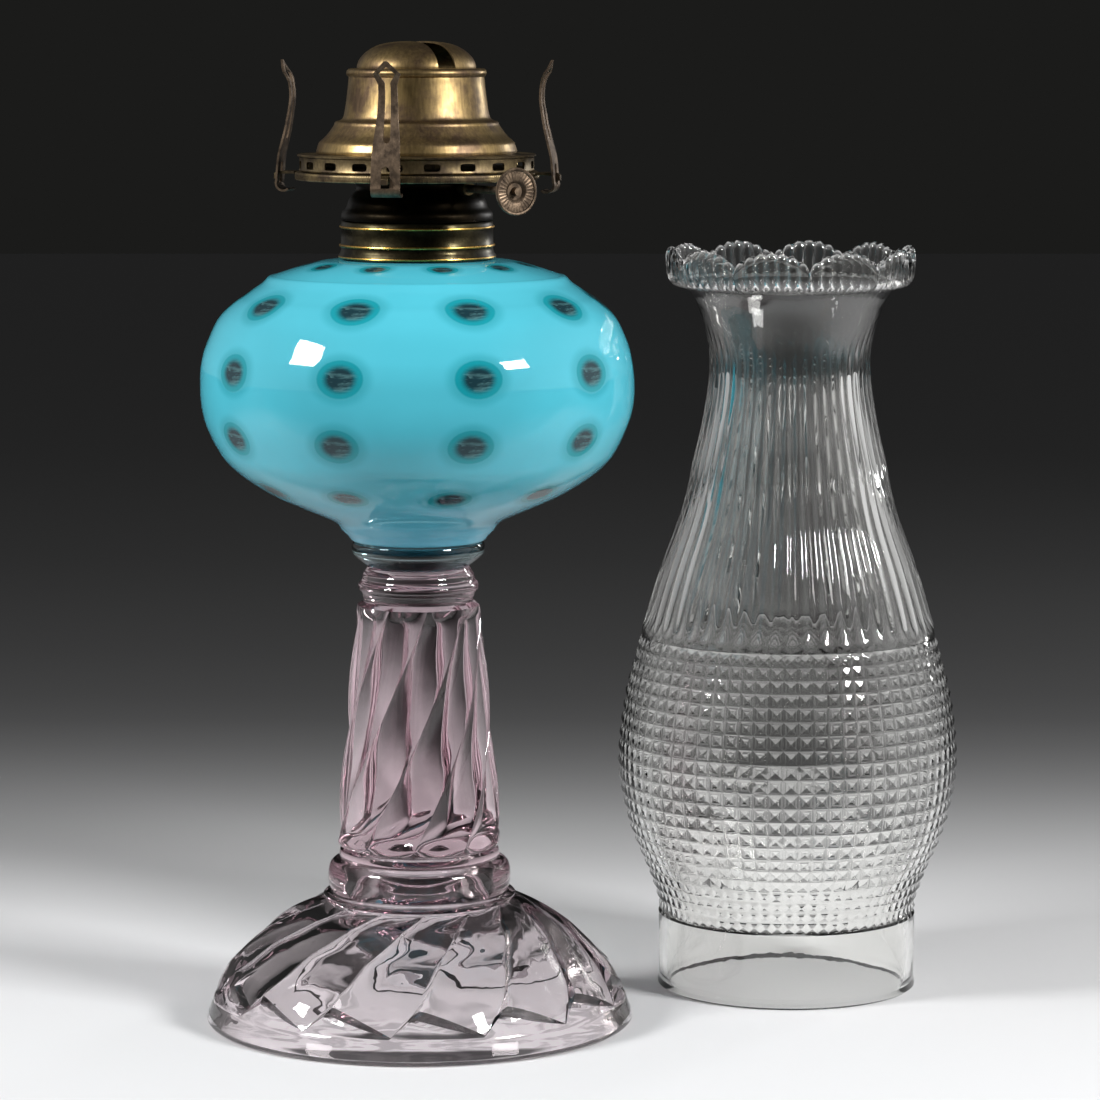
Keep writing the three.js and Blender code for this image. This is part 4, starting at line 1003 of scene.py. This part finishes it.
# Chimney: plain fitter, hobnails round the belly, ribs up to the neck, a scalloped and beaded rim
chimneySet = {
    "columns": 350, "centre": (108, 45.3),
    "ribs": 50, "ribDepth": 1, "ribPower": 1.4, "ribLow": 107.5, "ribHigh": 194,
    # over how many mm the ribs fade in at their foot and out at their top
    "ribFade": (3, 14),
    # how far the ribs' foot lies under the hobnails, and over what height it comes out again
    "settle": (0.3, 4),
    "hobnails": 70, "hobnailRow": 0.92, "hobnailDepth": 0.85,
    "hobnailSink": 1, "hobnailEdge": 0.13, "hobnailShift": 0.12,
    "scallops": 10, "scallopDepth": 5.4, "scallopPower": 0.62, "notchAzimuth": 5.8,
    "beads": 70, "beadDepth": 0.75, "crestDepth": 0.8, "bandLow": 208, "bandMiddle": 34.9, "height": 220,
    # how much shallower the beads are on the band's inner side
    "innerBeads": 0.7,
    "fitter": [
        (35.4, 0), (36.2, 0), (37.6, 0.15), (38.25, 0.7), (38.3, 1.5), (38, 2.4), (37.9, 4), (38, 10),
        (38.1, 16), (38.1, 20.6), (38.1, 22),
    ],
    "belly": [
        (38.15, 22.5), (38.8, 27), (40.2, 31), (41.9, 35.8), (44.1, 40.7), (46.1, 45.5), (47.7, 50.3),
        (48.9, 55.2), (49.9, 60), (50.5, 64.8), (50.6, 69.6), (50.3, 74.5), (49.8, 79.3), (49.1, 84.1),
        (48.2, 88.9), (47, 93.7), (45.7, 98.5), (44.4, 103.3), (43.3, 107.1),
    ],
    "shaft": [
        (43.3, 107.1), (43, 108.1), (41.6, 112.9), (40.2, 117.6), (38.7, 122.4), (37.1, 127.2),
        (35.3, 132), (33.5, 136.7), (31.9, 141.5), (30.6, 146.2), (29.5, 151), (28.7, 155.6), (27, 162.7),
        (25.5, 169.8), (24.3, 176.9), (23.7, 183), (23.7, 188), (24.1, 191.5), (25.1, 195.7),
        (26.4, 200), (27.6, 203.2), (29.2, 206), (30.2, 207.3),
    ],
    "band": [
        (30.2, 207.3), (31.6, 207.7), (33.6, 208.2), (35.1, 209.3), (36, 210.9), (36.4, 212.8), (36.6, 215),
        (36.65, 217), (36.5, 218.6), (35.9, 219.7), (35.1, 220), (34.3, 219.6), (33.8, 218.5), (33.6, 216.5),
        (33.4, 214), (33, 212), (32, 210.4), (30.4, 209.2), (28.8, 208),
    ],
    "inside": [
        (28.8, 208), (26.6, 205), (24.9, 201), (23.4, 196.6), (21.9, 191.6), (21.3, 187), (21.3, 182),
        (21.9, 176), (23.3, 169), (24.9, 162), (26.9, 154), (29.1, 146), (31.4, 138.5), (34.5, 130),
        (38.4, 119), (41.8, 108), (44.5, 97), (46.6, 86), (47.8, 75), (47.8, 66), (46.6, 56), (44.4, 47),
        (41.1, 38.6), (38.1, 32), (36.2, 26.5), (35.5, 22), (35.4, 16), (35.4, 8), (35.4, 0),
    ],
}


def makeHobnails():
    # rows as tall as the hobnails are wide, so that they shrink with the radius; each face is then
    # poked out to a pyramid
    sink = chimneySet["hobnailSink"]
    points = curveThrough(chimneySet["belly"], 0.1)
    rows, walked = [points[0]], 0
    for first, second in zip(points, points[1:]):
        walked += math.dist(first, second)
        if walked >= chimneySet["hobnailRow"] * 2 * math.pi * second[0] / chimneySet["hobnails"]:
            rows.append(second)
            walked = 0
    bm = spun([(radius - sink, height) for radius, height in rows], chimneySet["hobnails"])
    peaks = bmesh.ops.poke(bm, faces=bm.faces)["verts"]
    chance = random.Random(7)
    shift = chimneySet["hobnailShift"] * mm
    # row by row, since the order of a mesh's vertices isn't the same in each run
    for peak in sorted(peaks, key=lambda peak: (round(peak.co.z / mm, 1), math.atan2(peak.co.x, -peak.co.y))):
        radius = math.hypot(peak.co.x, peak.co.y)
        peak.co += Vector((peak.co.x, peak.co.y, 0)) / radius * chimneySet["hobnailDepth"] * mm
        # a worn mould left no two points alike
        peak.co += Vector([chance.uniform(-shift, shift) for _ in range(3)])
    rounded(bm, [edge for edge in bm.edges if not edge.is_boundary], chimneySet["hobnailEdge"], 1)
    return bm, rows[-1]


def makeChimney():
    columns = chimneySet["columns"]
    hobnails, top = makeHobnails()

    def cutRib(radius, azimuth, height):
        fadeIn = (height - chimneySet["ribLow"]) / chimneySet["ribFade"][0]
        fadeOut = (chimneySet["ribHigh"] - height) / chimneySet["ribFade"][1]
        ends = min(1, max(0, fadeIn), max(0, fadeOut))
        rib = abs(math.sin(chimneySet["ribs"] * azimuth / 2)) ** chimneySet["ribPower"]
        settle = chimneySet["settle"][0] * max(0, 1 - (height - top[1]) / chimneySet["settle"][1])
        return radius - chimneySet["ribDepth"] * (1 - rib) * ends - settle, azimuth, height

    def cutScallop(radius, azimuth, height):
        rise = max(0, (height - chimneySet["bandLow"]) / (chimneySet["height"] - chimneySet["bandLow"]))
        swing = abs(math.sin(chimneySet["scallops"] * azimuth / 2)) ** chimneySet["scallopPower"]
        bead = abs(math.sin(chimneySet["beads"] * azimuth / 2))
        outer = 1 if radius > chimneySet["bandMiddle"] else -chimneySet["innerBeads"]
        ripple = chimneySet["beadDepth"] * (bead - 1) * min(1, rise * 5) * outer
        crest = chimneySet["crestDepth"] * (bead - 1) * rise**3
        drop = chimneySet["scallopDepth"] * rise**1.5 * (1 - swing)
        return radius + ripple, azimuth, height - drop + crest

    # the fitter, the hobnails and the ribs differ in their columns, so they are bridged
    shaft = [(top[0] - 0.3, top[1] + 0.5)] + [point for point in chimneySet["shaft"] if point[1] > top[1] + 1]
    parts = [
        spun(chimneySet["fitter"], columns),
        hobnails,
        reshaped(spun(curveThrough(shaft, 2.2), columns), cutRib),
        reshaped(spun(curveThrough(chimneySet["band"], 0.8), columns), cutScallop),
        spun(curveThrough(chimneySet["inside"], 3), columns),
    ]
    bm = joined(parts, 0.03)
    edges = [e for e in bm.edges if e.is_boundary]
    for level in (chimneySet["fitter"][-1][1], top[1]):
        near = [e for e in edges if e.is_valid and abs(e.verts[0].co.z / mm - level) < 1.2]
        bmesh.ops.bridge_loops(bm, edges=near)
    turned(bm, math.radians(chimneySet["notchAzimuth"]))
    return moved(bm, bm.verts, (*chimneySet["centre"], 0))


chimneyPiece = addPiece(
    "chimneyClear", makeChimney(), "chimney", clearGlass["chimney"], ["chimney"], crease=32
)
# the ribs run out softly at their tops
for edge in chimneyPiece.data.edges:
    height = chimneyPiece.data.vertices[edge.vertices[0]].co.z / mm
    if chimneySet["ribLow"] + chimneySet["ribFade"][0] < height < chimneySet["ribHigh"]:
        edge.use_edge_sharp = False
print("chimney made")


# Wick: woven cotton tape, scorched at its top
wickSet = {
    "width": 25, "thickness": 2.4, "top": 271.6, "bottom": 162.6, "azimuth": 32.5, "columns": 24, "rows": 120,
    "thread": "#ded3b8", "shadedGap": "#a89a7c", "threadHeight": 0.3, "weaveScale": 900,
    "scorch": "#1c1612", "scorchSpan": (0.266, 0.2712),
}


def makeCotton():
    # plain weave, whose threads stand up, with painted shade in the gaps between them, dark from the flame at
    # the top
    material, tree, shader, place = startMaterial("wovenCotton", {"Roughness": 0.95, "Sheen Weight": 0.3})
    height = along(tree, place, "Z")
    weave = addNode(tree, "TexVoronoi", {}, {"Vector": place, "Scale": wickSet["weaveScale"]}).outputs[0]
    # painted shade: the gaps between the threads are darker
    cloth = blended(tree, weave, wickSet["thread"], wickSet["shadedGap"])
    scorched = ranged(tree, height, wickSet["scorchSpan"])
    color = blended(tree, scorched, cloth, wickSet["scorch"])
    tree.links.new(color, shader.inputs["Base Color"])
    addBump(tree, shader, weave, wickSet["threadHeight"], invert=True)
    return material


def makeWick():
    # a flat loop with round ends, drawn up
    half, flat = wickSet["thickness"] / 2, wickSet["width"] / 2 - wickSet["thickness"] / 2
    loop = [
        (-sign * half * math.sin(reach), sign * (flat + half * math.cos(reach)))
        for sign in (1, -1)
        for reach in map(math.radians, range(-90, 91, 30))
    ]
    bm = bmesh.new()
    verts = [bm.verts.new((x * mm, y * mm, wickSet["bottom"] * mm)) for x, y in loop]
    bm.faces.new(verts)
    sides = [edge for edge in bm.edges if edge.calc_length() > 10 * mm]
    bmesh.ops.subdivide_edges(bm, edges=sides, cuts=wickSet["columns"] - 1)
    height = wickSet["top"] - wickSet["bottom"]
    raised(bm, (0, 0, height))
    upright = [e for e in bm.edges if abs(e.verts[0].co.z - e.verts[1].co.z) / mm > height / 2]
    bmesh.ops.subdivide_edges(bm, edges=upright, cuts=wickSet["rows"])
    return turned(bm, math.radians(wickSet["azimuth"]))


cotton = makeCotton()
wick = addPiece("wickCotton", makeWick(), "wick", cotton, ["wick"])
print("wick made")


# The inner pieces keep their CAD shapes and get their finishes
# the hollow colour is painted shade, darker where the plaster lies low between its raised grains
plasterSet = {"hollow": "#b9b09c", "grain": "#e2dccb", "grainScale": 700, "grainHeight": 0.1}


def makePlaster():
    material, tree, shader, place = startMaterial("plasterCement", {"Roughness": 0.9})
    grains = noisy(tree, place, plasterSet["grainScale"], 6)
    # painted shade: darker where the grains are low
    color = blended(tree, grains, plasterSet["hollow"], plasterSet["grain"])
    tree.links.new(color, shader.inputs["Base Color"])
    addBump(tree, shader, grains, plasterSet["grainHeight"])
    return material


innerFinishes = [
    (makePlaster(), ["collar_cement"]),
    (brass["gallery"], ["burner_screw", "burner_floor", "wick_tube", "vent_tube"]),
    (brass["gallery"], ["wheel_box", "shaft_sleeve", "air_plate"]),
    (brass["bronze"], ["wick_shaft", "spur_wheel_1", "spur_wheel_2", "spur_wheel_3"]),
]
for finish, nodes in innerFinishes:
    for name in nodes:
        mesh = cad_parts[name].data
        mesh.materials.clear()
        mesh.materials.append(finish)
print("inner pieces finished")

scene.view_settings.view_transform = "Standard"
